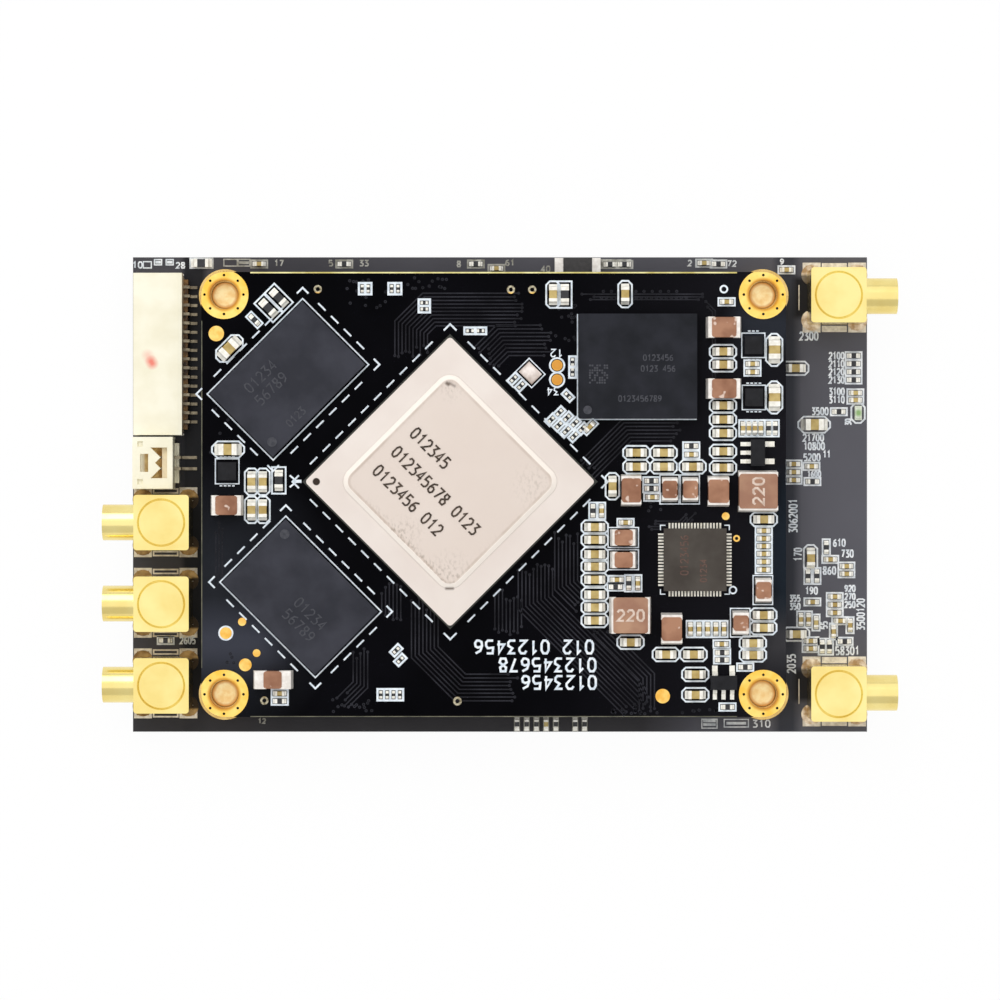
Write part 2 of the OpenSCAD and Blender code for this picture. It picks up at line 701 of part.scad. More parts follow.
// Square body with four legs, a barrel, an inner shaft and a seat for the cap
module jack_body(side, y) {
    front = jack_w / 2;
    mouth = front + barrel_l;
    body_top = carrier_top + jack_h;
    color("#fae896") at_jack(side, y) {
        difference() {
            union() {
                translate([0, 0, jack_bottom]) linear_extrude(jack_h - pad_t)
                    rounded_rect(jack_w, jack_w, jack_edge_r);
                along_barrel(front - EPS, mouth, barrel_d);
            }
            translate([0, 0, jack_bottom + jack_floor_t]) cylinder(h = jack_h, d = jack_shaft_d);
            translate([0, 0, body_top - jack_cap_t]) cylinder(h = jack_cap_t + EPS, d = jack_seat_d);
            translate([0, 0, body_top - cap_chamfer])
                cylinder(h = 2 * cap_chamfer, d1 = jack_seat_d, d2 = jack_seat_d + 4 * cap_chamfer);
            translate([0, 0, jack_bottom - EPS]) cylinder(h = jack_floor_t + 2 * EPS, d = bush_d);
            along_barrel(0, mouth + EPS, barrel_bore_d);
        }
        at_jack_legs() translate([0, 0, carrier_bottom - tail_l])
            cylinder(h = jack_bottom + EPS - carrier_bottom + tail_l, d = leg_d);
    }
}

// Disc that closes the shaft after the centre contact is soldered
module jack_cap(side, y) {
    color("#fae896") at_jack(side, y) translate([0, 0, carrier_top + jack_h - jack_cap_t]) {
        cylinder(h = jack_cap_t - cap_chamfer, d = jack_cap_d);
        translate([0, 0, jack_cap_t - cap_chamfer])
            cylinder(h = cap_chamfer, d1 = jack_cap_d, d2 = jack_cap_d - 2 * cap_chamfer);
    }
}

// White insulators: one in the barrel and a bush in the floor
module jack_insulator(side, y) {
    color("#f2f0ea") at_jack(side, y) {
        difference() {
            along_barrel(insulator_back, insulator_front, barrel_bore_d);
            along_barrel(insulator_back - EPS, insulator_front + EPS, contact_d);
        }
        translate([0, 0, jack_bottom]) difference() {
            cylinder(h = jack_floor_t, d = bush_d);
            translate([0, 0, -EPS]) cylinder(h = jack_floor_t + 2 * EPS, d = contact_tail_d);
        }
    }
}

// Centre contact: a socket in the barrel and a pin down through the carrier
module jack_contact(side, y) {
    mouth = jack_w / 2 + barrel_l - contact_recess;
    color("#f5d77d") at_jack(side, y) difference() {
        union() {
            along_barrel(-contact_d / 2, mouth, contact_d);
            translate([0, 0, carrier_bottom - tail_l])
                cylinder(h = carrier_t + tail_l + jack_axis_h, d = contact_tail_d);
        }
        along_barrel(mouth - contact_bore_l, mouth + EPS, contact_bore_d);
    }
}

module jack_solder_pads() {
    color("#efe0a8") at_all_jacks() at_jack_legs()
        translate([0, 0, carrier_top]) difference() {
            cylinder(h = pad_t, d = leg_pad_d);
            cylinder(h = 4, d = leg_hole_d, center = true);
        }
}

// Side entry header: an open mouth to the left, a pocket in each end wall for the
// solder anchor and a low ledge behind
module header_shell(l, depth, h, y) {
    translate([header_x, y - l / 2, carrier_top]) {
        difference() {
            cube([depth, l, h]);
            translate([-EPS, header_wall, header_wall])
                cube([depth - header_rear_t, l - 2 * header_wall, h - 2 * header_wall]);
            for (end_y = [0, l - anchor_w])
                translate([depth - anchor_l, end_y, 0]) cube([anchor_l, anchor_w, anchor_h]);
        }
        translate([depth - EPS, header_wall, 0])
            cube([header_ledge_l + EPS, l - 2 * header_wall, header_ledge_h]);
    }
}

// Contact from inside the header's mouth, over the ledge and down to the board
module header_contact(depth, h, reach, foot_l) {
    pin_z = h / 2 - header_contact_t / 2;
    back = depth + header_ledge_l;
    rotate([90, 0, 0]) linear_extrude(header_contact_w, center = true) polygon([
        [depth - header_rear_t - reach, pin_z],
        [back, pin_z],
        [back, 0],
        [back + foot_l, 0],
        [back + foot_l, header_contact_t],
        [back + header_contact_t, header_contact_t],
        [back + header_contact_t, pin_z + header_contact_t],
        [depth - header_rear_t - reach, pin_z + header_contact_t]
    ]);
}

module header_contact_row(count, pitch, depth, h, y, reach, foot_l) {
    for (i = [0:count - 1])
        translate([header_x, y + (i - (count - 1) / 2) * pitch, carrier_top])
            header_contact(depth, h, reach, foot_l);
}

// Angle piece in each end pocket: a foot on the board and a wall inside the pocket
module header_anchors(l, depth, y) {
    for (side = [-1, 1])
        translate([header_x + depth, y, carrier_top]) scale([1, side, 1])
            translate([-anchor_l, l / 2 - anchor_w, 0]) {
                cube([anchor_l, anchor_w, anchor_t]);
                cube([anchor_l, anchor_t, anchor_h]);
            }
}

module signal_contact_row() {
    header_contact_row(signal_count, signal_pitch, signal_depth, signal_h, signal_y,
                       signal_contact_reach, signal_foot_l);
}

module power_contact_row() {
    header_contact_row(power_count, power_pitch, power_depth, power_h, power_y,
                       power_contact_reach, power_foot_l);
}

module signal_header_housing() {
    color("#fffae4") difference() {
        header_shell(signal_l, signal_depth, signal_h, signal_y);
        signal_contact_row();
    }
}

module signal_header_contacts() {
    color("#b8a878") signal_contact_row();
}

module signal_header_anchors() {
    color("#d8d4cc") header_anchors(signal_l, signal_depth, signal_y);
}

// The power header's roof has a latch slot, a window with two teeth over the contacts and
// two square dimples near the mouth
module power_header_housing() {
    color("#fffae4") difference() {
        header_shell(power_l, power_depth, power_h, power_y);
        power_contact_row();
        translate([header_x, power_y, carrier_top + power_h - header_wall - EPS])
            linear_extrude(2 * header_wall) {
                translate([latch_slot[0], -latch_slot[2] / 2]) square([latch_slot[1], latch_slot[2]]);
                polygon(toothed_window);
            }
        for (side = [-1, 1])
            translate([header_x + dimple_place[0], power_y + side * dimple_place[1],
                       carrier_top + power_h])
                cube(dimple_w, center = true);
    }
}

module power_header_contacts() {
    color("#b8a878") power_contact_row();
}

module power_header_anchors() {
    color("#d8d4cc") header_anchors(power_l, power_depth, power_y);
}

// Balls in the outer rows under a chip, as many as fit within it
module ball_rows(l, w, pitch, rows) {
    nx = floor((l - 1) / pitch);
    ny = floor((w - 1) / pitch);
    for (ix = [0:nx], iy = [0:ny])
        if (min(ix, nx - ix, iy, ny - iy) < rows)
            translate([(ix - nx / 2) * pitch, (iy - ny / 2) * pitch, 0])
                cylinder(h = ball_h, d = ball_d, $fn = 8);
}

module processor_substrate() {
    color("#3c4438") on_core(processor_place) translate([0, 0, ball_h])
        linear_extrude(processor_substrate_t) square(processor_w, center = true);
}

// Square raised plate with sloping sides and round corners
module sloped_plate(w, r, h, slope_w) {
    flat = w / 2 - r;
    for (turn = [0, 90])
        rotate([90, 0, turn]) linear_extrude(2 * flat, center = true) polygon([
            [-w / 2 - slope_w, 0], [w / 2 + slope_w, 0], [w / 2, h], [-w / 2, h]
        ]);
    for (sx = [-1, 1], sy = [-1, 1])
        translate([sx * flat, sy * flat, 0]) cylinder(h = h, r1 = r + slope_w, r2 = r);
}

// Lid with a round dimple at its first corner and a sloped, raised middle, which dips a little
// inside a narrow ridge
module processor_lid() {
    lid_w = processor_w - 2 * processor_lid_inset;
    lid_corner_r = 0.4;
    dimple_d = 0.85;
    dimple_depth = 0.2;
    dimple_inset = 0.9;
    dimple = lid_w / 2 - dimple_inset;
    ridge_w = 0.22;
    dip_depth = 0.06;
    dip_w = processor_plateau_w - 2 * ridge_w;
    color("#ece0d8") on_core(processor_place) translate([0, 0, ball_h + processor_substrate_t]) {
        difference() {
            linear_extrude(processor_rim_t) rounded_rect(lid_w, lid_w, lid_corner_r);
            translate([-dimple, dimple, processor_rim_t - dimple_depth])
                cylinder(h = processor_rim_t, d = dimple_d);
        }
        translate([0, 0, processor_rim_t - EPS]) difference() {
            sloped_plate(processor_plateau_w, processor_plateau_r, processor_plateau_t + EPS,
                         processor_slope_w);
            translate([0, 0, processor_plateau_t + EPS - dip_depth])
                linear_extrude(2 * dip_depth)
                    rounded_rect(dip_w, dip_w, processor_plateau_r - ridge_w);
        }
    }
}

module processor_solder_balls() {
    color("#c8c8cc") on_core(processor_place)
        ball_rows(processor_w, processor_w, processor_ball_pitch, 1);
}

// Moulded chip body on solder balls, with a shallow round mark near one corner
module ball_chip(l, w) {
    mark_inset = 1;
    mark_depth = 0.06;
    translate([0, 0, ball_h]) difference() {
        linear_extrude(memory_t) square([l, w], center = true);
        translate([mark_inset - l / 2, mark_inset - w / 2, memory_t - mark_depth])
            cylinder(h = memory_t, d = chip_mark_d);
    }
}

module upper_memory_chip() {
    color("#3a3c46") on_core(upper_memory_place) ball_chip(memory_l, memory_w);
}

module lower_memory_chip() {
    color("#3a3c46") on_core(lower_memory_place) ball_chip(memory_l, memory_w);
}

module flash_storage_chip() {
    color("#262830") on_core(flash_place) ball_chip(flash_l, flash_w);
}

module memory_solder_balls() {
    color("#c8c8cc") {
        for (place = [upper_memory_place, lower_memory_place])
            on_core(place) ball_rows(memory_l, memory_w, memory_ball_pitch, 1);
        on_core(flash_place) ball_rows(flash_l, flash_w, memory_ball_pitch, 1);
    }
}

module power_controller_chip() {
    color("#3c3732") on_core(controller_place) translate([0, 0, pad_t])
        linear_extrude(controller_t) square(controller_w, center = true);
}

// Solder fingers that reach out from under the power controller on all four sides
module power_controller_pads() {
    under = 0.4;
    color("#e6e4de") on_core(controller_place)
        for (turn = [0, 90, 180, 270], i = [0:controller_pad_count - 1])
            rotate([0, 0, turn])
                translate([controller_w / 2 - under,
                           (i - (controller_pad_count - 1) / 2) * controller_pad_pitch
                           - controller_pad_w / 2, 0])
                    cube([under + controller_pad_l, controller_pad_w, pad_t]);
}

// Moulded block between its two terminals
module power_part_body(p, h) {
    side_inset = 0.05;
    linear_extrude(h) rounded_rect(p[3] - 2 * p[5], p[4] - 2 * side_inset, power_edge_r);
}

// Terminals with a solder slope, which fill the block's rounded corners
module power_part_ends(p, h) {
    tip = p[3] / 2;
    inner = tip - p[5] - power_edge_r;
    slope_w = 0.2;
    foot_h = 0.15;
    slope_h = h * 0.6;
    end_h = h * 0.95;
    difference() {
        for (side = [0, 180])
            rotate([90, 0, side]) linear_extrude(p[4], center = true) polygon([
                [inner, 0], [tip, 0], [tip, foot_h], [tip - slope_w, slope_h],
                [tip - slope_w, end_h], [inner, end_h]
            ]);
        translate([0, 0, -EPS]) power_part_body(p, h + 1);
    }
}

module power_inductors() {
    color("#a5786a") for (p = inductor_places)
        on_core(p) power_part_body(p, inductor_h);
}

module power_inductor_ends() {
    color("#e8e2dc") for (p = inductor_places)
        on_core(p) power_part_ends(p, inductor_h);
}

module bulk_capacitors() {
    color("#966950") for (p = bulk_places)
        on_core(p) power_part_body(p, bulk_h);
}

module bulk_capacitor_ends() {
    color("#e8e2dc") for (p = bulk_places)
        on_core(p) power_part_ends(p, bulk_h);
}

module at_filter() {
    translate([filter_place[0], carrier_w / 2 - filter_place[1] - filter_w / 2, carrier_top])
        children();
}

filter_end_l = 0.95;
filter_end_h = filter_h * 0.75;

// Dark ferrite block with a round drum on top, half under the core board
module filter_inductor() {
    block_h = filter_h * 0.8;
    color("#2a2626") at_filter() {
        linear_extrude(block_h) square([filter_l - 2 * filter_end_l, filter_w], center = true);
        translate([0, 0, block_h - EPS])
            cylinder(h = filter_h - block_h + EPS, d = filter_drum_d);
    }
}

module filter_inductor_ends() {
    color("#e8e2dc") at_filter() for (side = [-1, 1])
        translate([side * (filter_l - filter_end_l) / 2, 0, 0])
            linear_extrude(filter_end_h) square([filter_end_l, filter_w], center = true);
}

// Middle of a chip part, a little slimmer than its ends
module chip_body(size, h) {
    slim = 0.03;
    translate([-size[0] / 2 + size[3], -size[1] / 2 + slim, 0])
        cube([size[0] - 2 * size[3], size[1] - 2 * slim, h - slim]);
}

// Metal ends with their solder fillets
module chip_ends(size, h) {
    outer = size[0] / 2;
    inner = outer - size[3];
    toe = outer + size[4];
    knee = outer + size[4] * 0.35;
    toe_h = 0.05;
    knee_h = h * 0.3;
    fillet_h = h * 0.75;
    for (side = [0, 180])
        rotate([90, 0, side]) linear_extrude(size[1], center = true) polygon([
            [inner, 0], [toe, 0], [toe, toe_h], [knee, knee_h], [outer, fillet_h],
            [outer, h], [inner, h]
        ]);
}

// Children at every listed place: body or ends of one part each
module chip_parts(core_list, carrier_list, ends, flat) {
    for (p = core_list)
        on_core(p) chip_part(p[3], ends, flat);
    for (p = carrier_list)
        translate([p[0], p[1], carrier_top]) rotate([0, 0, p[2]]) chip_part(p[3], ends, flat);
}

module chip_part(size, ends, flat) {
    h = flat ? size[1] * resistor_flatness : size[2];
    if (ends) chip_ends(size, h);
    else chip_body(size, h);
}

module chip_capacitor_bodies() {
    color("#bea55a")
        chip_parts(core_capacitors, carrier_capacitors, false, false);
}

module chip_capacitor_ends() {
    color("#e8e6de")
        chip_parts(core_capacitors, carrier_capacitors, true, false);
}

module chip_resistor_bodies() {
    color("#202024")
        chip_parts(core_resistors, carrier_resistors, false, true);
}

module chip_resistor_ends() {
    color("#e8e6de")
        chip_parts(core_resistors, carrier_resistors, true, true);
}

module regulator_chips() {
    color("#1e1e22") {
        for (p = leadless_places)
            on_core([p[0], p[1]]) linear_extrude(leadless_t) square(p[2], center = true);
        for (p = leaded_places)
            on_core(p) translate([-leaded_body[0] / 2, -leaded_body[1] / 2, leaded_standoff])
                cube(leaded_body);
    }
}

// Gull wing lead: out of the body, down and along the board
module lead(w) {
    side = leaded_body[1] / 2;
    mid = leaded_body[2] / 2;
    t = 0.18;
    knee = side + 0.35;
    ankle = side + 0.5;
    toe = side + 1.1;
    rotate([90, 0, 90]) linear_extrude(w, center = true) polygon([
        [side, mid], [knee, mid], [ankle, t], [toe, t], [toe, 0],
        [knee, 0], [knee - (ankle - knee), mid - t], [side, mid - t]
    ]);
}

module regulator_leads() {
    pitch = 0.95;
    narrow_w = 0.45;
    wide_w = 0.6;
    color("#e2e0da") for (p = leaded_places)
        on_core(p) {
            for (i = [-1, 0, 1]) translate([i * pitch, 0, 0]) lead(narrow_w);
            for (i = [-1, 1]) translate([i * pitch, 0, 0]) rotate([0, 0, 180]) lead(wide_w);
        }
}

module clock_crystal() {
    case = [2, 1.6, 0.3];
    can = [1.85, 1.45, 0.25];
    can_r = 0.2;
    color("#e6dccf") on_core(crystal_place) {
        linear_extrude(case[2]) square([case[0], case[1]], center = true);
        translate([0, 0, case[2] - EPS])
            linear_extrude(can[2] + EPS) rounded_rect(can[0], can[1], can_r);
    }
}

module test_pads() {
    color("#f0c85a") {
        for (p = test_pad_places) on_core([p[0], p[1]]) cylinder(h = pad_t, d = p[2]);
        for (p = ring_pad_places) on_core([p[0], p[1]]) difference() {
            cylinder(h = pad_t, d = p[2]);
            cylinder(h = 1, d = p[2] / 2, center = true);
        }
    }
}

// Small clear light near the carrier's right edge
module status_light() {
    inset = 1;
    y = 9.1;
    base = [0.8, 1.6, 0.35];
    dome = [0.7, 1.1, 0.3];
    dome_r = 0.15;
    color("#d8e0c8") translate([carrier_l / 2 - inset, y, carrier_top]) {
        translate([-base[0] / 2, -base[1] / 2, 0]) cube(base);
        translate([0, 0, base[2] - EPS])
            linear_extrude(dome[2] + EPS) rounded_rect(dome[0], dome[1], dome_r);
    }
}

carrier_board();
core_board();
core_hole_plating();
standoffs();
base_screws();
stack_sockets();
stack_socket_contacts();
stack_plugs();
stack_plug_contacts();
jack_body(-1, left_jack_y[0]);  // upper_left_jack_body
jack_cap(-1, left_jack_y[0]);  // upper_left_jack_cap
jack_insulator(-1, left_jack_y[0]);  // upper_left_jack_insulator
jack_contact(-1, left_jack_y[0]);  // upper_left_jack_contact
jack_body(-1, left_jack_y[1]);  // middle_left_jack_body
jack_cap(-1, left_jack_y[1]);  // middle_left_jack_cap
jack_insulator(-1, left_jack_y[1]);  // middle_left_jack_insulator
jack_contact(-1, left_jack_y[1]);  // middle_left_jack_contact
jack_body(-1, left_jack_y[2]);  // lower_left_jack_body
jack_cap(-1, left_jack_y[2]);  // lower_left_jack_cap
jack_insulator(-1, left_jack_y[2]);  // lower_left_jack_insulator
jack_contact(-1, left_jack_y[2]);  // lower_left_jack_contact
jack_body(1, right_jack_y[0]);  // upper_right_jack_body
jack_cap(1, right_jack_y[0]);  // upper_right_jack_cap
jack_insulator(1, right_jack_y[0]);  // upper_right_jack_insulator
jack_contact(1, right_jack_y[0]);  // upper_right_jack_contact
jack_body(1, right_jack_y[1]);  // lower_right_jack_body
jack_cap(1, right_jack_y[1]);  // lower_right_jack_cap
jack_insulator(1, right_jack_y[1]);  // lower_right_jack_insulator
jack_contact(1, right_jack_y[1]);  // lower_right_jack_contact
jack_solder_pads();
signal_header_housing();
signal_header_contacts();
signal_header_anchors();
power_header_housing();
power_header_contacts();
power_header_anchors();
processor_substrate();
processor_lid();
processor_solder_balls();
upper_memory_chip();
lower_memory_chip();
flash_storage_chip();
memory_solder_balls();
power_controller_chip();
power_controller_pads();
power_inductors();
power_inductor_ends();
bulk_capacitors();
bulk_capacitor_ends();
chip_capacitor_bodies();
chip_capacitor_ends();
chip_resistor_bodies();
chip_resistor_ends();
filter_inductor();
filter_inductor_ends();
regulator_chips();
regulator_leads();
clock_crystal();
test_pads();
status_light();
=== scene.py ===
import math
import random

import bpy
import numpy as np
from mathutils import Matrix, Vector


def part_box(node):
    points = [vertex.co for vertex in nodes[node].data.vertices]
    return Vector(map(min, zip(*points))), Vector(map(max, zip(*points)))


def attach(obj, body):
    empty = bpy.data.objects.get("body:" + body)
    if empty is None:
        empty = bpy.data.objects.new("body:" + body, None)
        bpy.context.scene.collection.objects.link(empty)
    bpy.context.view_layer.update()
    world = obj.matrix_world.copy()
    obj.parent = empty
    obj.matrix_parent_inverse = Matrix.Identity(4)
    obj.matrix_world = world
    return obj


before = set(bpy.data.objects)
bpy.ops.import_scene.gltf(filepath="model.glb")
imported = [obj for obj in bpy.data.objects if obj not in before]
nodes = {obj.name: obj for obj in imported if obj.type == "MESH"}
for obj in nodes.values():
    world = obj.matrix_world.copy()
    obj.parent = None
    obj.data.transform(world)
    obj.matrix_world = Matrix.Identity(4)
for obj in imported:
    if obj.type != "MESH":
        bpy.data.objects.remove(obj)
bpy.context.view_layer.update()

# Carrier board: a sheet of glass laminate with a dark grey solder mask on both faces. It is
# milled to size, so the bare olive laminate shows along its four edges.
MM = 0.001
carrier_low, carrier_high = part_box("carrier_board")
carrier_dark = (0.044, 0.041, 0.047)
carrier_pale = (0.112, 0.111, 0.13)
laminate_dark = (0.12, 0.11, 0.05)
laminate_pale = (0.24, 0.22, 0.11)
LAYERED, UPRIGHT, TONE_SPAN = (0.2, 0.2, 3.0), (0.6, 0.4), (0.35, 0.65)
FINE_SHARE, CLOUD_SHARE, SHADE_AND_DARK_SHARE = 0.2, 0.35, 0.9


def new_finish(name, metal=0.0, rough=0.5, shine=0.5):
    finish = bpy.data.materials.new(name)
    finish.use_nodes = True
    shader = finish.node_tree.nodes["Principled BSDF"]
    shader.inputs["Metallic"].default_value = metal
    shader.inputs["Roughness"].default_value = rough
    shader.inputs["Specular IOR Level"].default_value = shine
    return finish, finish.node_tree, shader


def step_of(tree, kind, values=(), feeds=()):
    """A shader node, with values set on its sockets or fed into them."""
    step = tree.nodes.new("ShaderNode" + kind)
    for socket, value in values:
        step.inputs[socket].default_value = value
    for socket, source in feeds:
        tree.links.new(source, step.inputs[socket])
    return step


def own_place(tree, stretch=(1.0, 1.0, 1.0), turn=0.0, shift=(0.0, 0.0, 0.0)):
    """The place on the piece, in metres: stretched, turned about the upright axis and shifted."""
    place = step_of(tree, "TexCoord")
    moved = step_of(tree, "Mapping", (("Scale", stretch), ("Rotation", (0.0, 0.0, turn)),
                                      ("Location", shift)), (("Vector", place.outputs["Object"]),))
    return moved.outputs["Vector"]


def grain(tree, size, detail=3.0, stretch=(1.0, 1.0, 1.0), turn=0.0):
    """Noise over the piece, with features of about the given size in metres."""
    noise = step_of(tree, "TexNoise", (("Scale", 1.0 / size), ("Detail", detail)),
                    (("Vector", own_place(tree, stretch, turn)),))
    return noise.outputs["Fac"]


def two_tones(tree, size, dark, light, stretch=(1.0, 1.0, 1.0)):
    """Colours from dark to light that follow a grain of the given size."""
    ramp = step_of(tree, "ValToRGB", feeds=(("Fac", grain(tree, size, stretch=stretch)),))
    for mark, at, colour in zip(ramp.color_ramp.elements, TONE_SPAN, (dark, light)):
        mark.position = at
        mark.color = (*colour, 1.0)
    return ramp.outputs["Color"]


def span_of(tree, value, low, high, to_low=0.0, to_high=1.0):
    """A value that goes between two limits as another goes from low to high."""
    span = step_of(tree, "MapRange", (("From Min", low), ("From Max", high), ("To Min", to_low),
                                      ("To Max", to_high)), (("Value", value),))
    return span.outputs["Result"]


def blend_of(tree, share, first, second):
    """First colour where the share is 0, second where it is 1."""
    blend = tree.nodes.new("ShaderNodeMix")
    blend.data_type = "RGBA"
    if isinstance(share, float):
        blend.inputs["Factor"].default_value = share
    else:
        tree.links.new(share, blend.inputs["Factor"])
    for colour, socket in ((first, blend.inputs["A"]), (second, blend.inputs["B"])):
        if isinstance(colour, tuple):
            socket.default_value = (*colour, 1.0)
        else:
            tree.links.new(colour, socket)
    return blend.outputs["Result"]


def relief(tree, shader, factor, depth, strength=0.6):
    """Raises the surface by a height in metres where the factor is high."""
    bump = step_of(tree, "Bump", (("Distance", depth), ("Strength", strength)),
                   (("Height", factor),))
    tree.links.new(bump.outputs["Normal"], shader.inputs["Normal"])


def axis_of(tree, vector, axis):
    return step_of(tree, "SeparateXYZ", feeds=(("Vector", vector),)).outputs[axis]


def place_along(tree, axis):
    """Metres along one axis of the piece."""
    return axis_of(tree, own_place(tree), axis)


def turned(centre, turn, x, y):
    """The point at x and y from a centre, on axes turned by an angle in degrees."""
    c, s = math.cos(math.radians(turn)), math.sin(math.radians(turn))
    return Vector((centre[0] + c * x - s * y, centre[1] + s * x + c * y))


def plan_distance(tree, centre, half=(0.0, 0.0), turn=0.0):
    """Millimetres, in plan, from an oblong of half sizes that is turned by an angle."""
    near = turned((0.0, 0.0), -turn, *centre)
    last = own_place(tree, (1 / MM, 1 / MM, 0.0), math.radians(-turn), (-near.x, -near.y, 0.0))
    for work, by in (("ABSOLUTE", (0.0, 0.0)), ("SUBTRACT", half), ("MAXIMUM", (0.0, 0.0)),
                     ("LENGTH", (0.0, 0.0))):
        node = step_of(tree, "VectorMath", ((1, (*by, 0.0)),), ((0, last),))
        node.operation = work
        last = node.outputs["Value" if work == "LENGTH" else "Vector"]
    return last


def worked_out(tree, work, *values):
    """Sum, product or other result of one or two values."""
    result = step_of(tree, "Math", feeds=enumerate(values))
    result.operation = work
    return result.outputs["Value"]


def times(tree, first, second):
    return worked_out(tree, "MULTIPLY", first, second)


def side_share(tree):
    """1 on upright faces, 0 on level ones."""
    shape = step_of(tree, "NewGeometry")
    level = worked_out(tree, "ABSOLUTE", axis_of(tree, shape.outputs["Normal"], "Z"))
    return span_of(tree, level, *UPRIGHT)


def coat(tree, shader, colour, size, rough, bumps=None, span=(0.0, 1.0)):
    """Colour, a roughness that follows a grain of a size, and bumps with a size and depth."""
    tree.links.new(colour, shader.inputs["Base Color"])
    tree.links.new(span_of(tree, grain(tree, size), *span, *rough), shader.inputs["Roughness"])
    if bumps:
        relief(tree, shader, grain(tree, bumps[0]), bumps[1])


def stain(tree, base, colour, centre, half=(0.0, 0.0), near=0.0, far=1.0, most=1.0, turn=0.0):
    """The base colour, with another round an oblong that fades out from near to far."""
    share = span_of(tree, plan_distance(tree, centre, half, turn), near, far, most, 0.0)
    return blend_of(tree, share, base, colour)


def mottled(name, dark, light, size, metal=0.0, rough=(0.4, 0.5), shine=0.5, depth=0.0):
    """Finish with two close tones, uneven roughness and a fine surface."""
    finish, tree, shader = new_finish(name, metal, rough[0], shine)
    fine = size * FINE_SHARE
    coat(tree, shader, two_tones(tree, size, dark, light), fine, rough,
         (fine, depth) if depth else None)
    return finish


def wear(node, finish):
    """Gives a CAD node its finish."""
    nodes[node].data.materials.clear()
    nodes[node].data.materials.append(finish)


carrier_mask, tree, shader = new_finish("carrier_mask", rough=0.4, shine=0.15)
across = span_of(tree, place_along(tree, "X"), carrier_low.x, carrier_high.x)
mask = blend_of(tree, across, carrier_dark, carrier_pale)
cloud = two_tones(tree, 0.02, (0.046, 0.044, 0.05), (0.09, 0.088, 0.102))
mask = blend_of(tree, CLOUD_SHARE, mask, cloud)
# Painted shadow on the mask along the core board's left and right edges and beside the right jacks;
# the lower strip is also darker
for centre, half, soft, colour in (((-34.2, 0.0), (0.9, 27.0), 0.7, (0.006, 0.006, 0.008)),
                                   ((32.0, 3.0), (0.7, 30.0), 1.0, (0.03, 0.032, 0.042)),
                                   ((33.8, 22.0), (0.6, 1.9), 0.7, (0.004, 0.003, 0.004)),
                                   ((33.8, -21.3), (0.6, 1.4), 0.7, (0.004, 0.003, 0.004)),
                                   ((-12.0, -26.0), (28.0, 1.2), 6.0, (0.03, 0.028, 0.03))):
    mask = stain(tree, mask, colour, centre, half, far=soft, most=SHADE_AND_DARK_SHARE)
edge = two_tones(tree, 0.0006, laminate_dark, laminate_pale, LAYERED)
coat(tree, shader, blend_of(tree, side_share(tree), mask, edge), 0.004, (0.35, 0.5),
     (0.0008, 0.00001), (0.3, 0.7))
wear("carrier_board", carrier_mask)

# Printing on the carrier: pale ink screened on the mask, in thin raised lines. It holds part
# numbers in plain digits beside the small parts, pad frames and bars beside the jacks.
INK_T, LINE_RISE, RISE_STEPS = 0.02, 0.0007, 8
LEAST_MITRE, DIGIT_PITCH, DIGIT_GAP = 0.45, 0.95, 0.25
carrier_ink, tree, shader = new_finish("carrier_ink", rough=0.6, shine=0.3)
dim = two_tones(tree, 0.0006, (0.24, 0.23, 0.19), (0.5, 0.49, 0.44))
clear = two_tones(tree, 0.0006, (0.56, 0.6, 0.64), (0.86, 0.88, 0.9))
along_x = place_along(tree, "X")
ink = blend_of(tree, span_of(tree, along_x, 0.012, 0.031), dim, clear)
ink = blend_of(tree, span_of(tree, along_x, -0.03, -0.036), ink, clear)
coat(tree, shader, ink, 0.0002, (0.5, 0.7), (0.0002, 0.00001))
DIGITS = {
    "0": [(0.2, 0), (0.5, 0), (0.65, 0.25), (0.65, 0.75), (0.5, 1), (0.2, 1), (0.05, 0.75),
          (0.05, 0.25), (0.2, 0)],
    "1": [(0.15, 0.75), (0.4, 1), (0.4, 0)],
    "2": [(0.05, 0.8), (0.2, 1), (0.5, 1), (0.65, 0.8), (0.65, 0.6), (0.05, 0), (0.65, 0)],
    "3": [(0.05, 1), (0.6, 1), (0.3, 0.6), (0.65, 0.4), (0.65, 0.15), (0.5, 0), (0.05, 0)],
    "4": [(0.5, 0), (0.5, 1), (0.05, 0.3), (0.65, 0.3)],
    "5": [(0.6, 1), (0.1, 1), (0.05, 0.55), (0.5, 0.6), (0.65, 0.4), (0.65, 0.15), (0.5, 0),
          (0.05, 0)],
    "6": [(0.6, 1), (0.2, 0.8), (0.05, 0.4), (0.1, 0.1), (0.3, 0), (0.5, 0), (0.65, 0.2),
          (0.6, 0.45), (0.4, 0.55), (0.1, 0.45)],
    "7": [(0.05, 1), (0.65, 1), (0.25, 0)],
    "8": [(0.35, 0.52), (0.1, 0.7), (0.15, 1), (0.55, 1), (0.6, 0.7), (0.35, 0.52),
          (0.65, 0.3), (0.55, 0), (0.15, 0), (0.05, 0.3), (0.35, 0.52)],
    "9": [(0.1, 0), (0.5, 0.2), (0.65, 0.6), (0.6, 0.9), (0.4, 1), (0.2, 1), (0.05, 0.8),
          (0.1, 0.55), (0.3, 0.45), (0.6, 0.55)],
}


def top_of(node):
    """Height of a CAD node's top, in millimetres."""
    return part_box(node)[1].z / MM


def new_print(slot, rise=0.0):
    """A print on top of a piece, filled line by line and made into a piece at its end.

    The rise, in millimetres, parts the tops of lines that cross each other or themselves.
    """
    return {"corners": [], "faces": [], "lines": 0, "rise": rise, "slot": slot,
            "level": top_of(slot)}


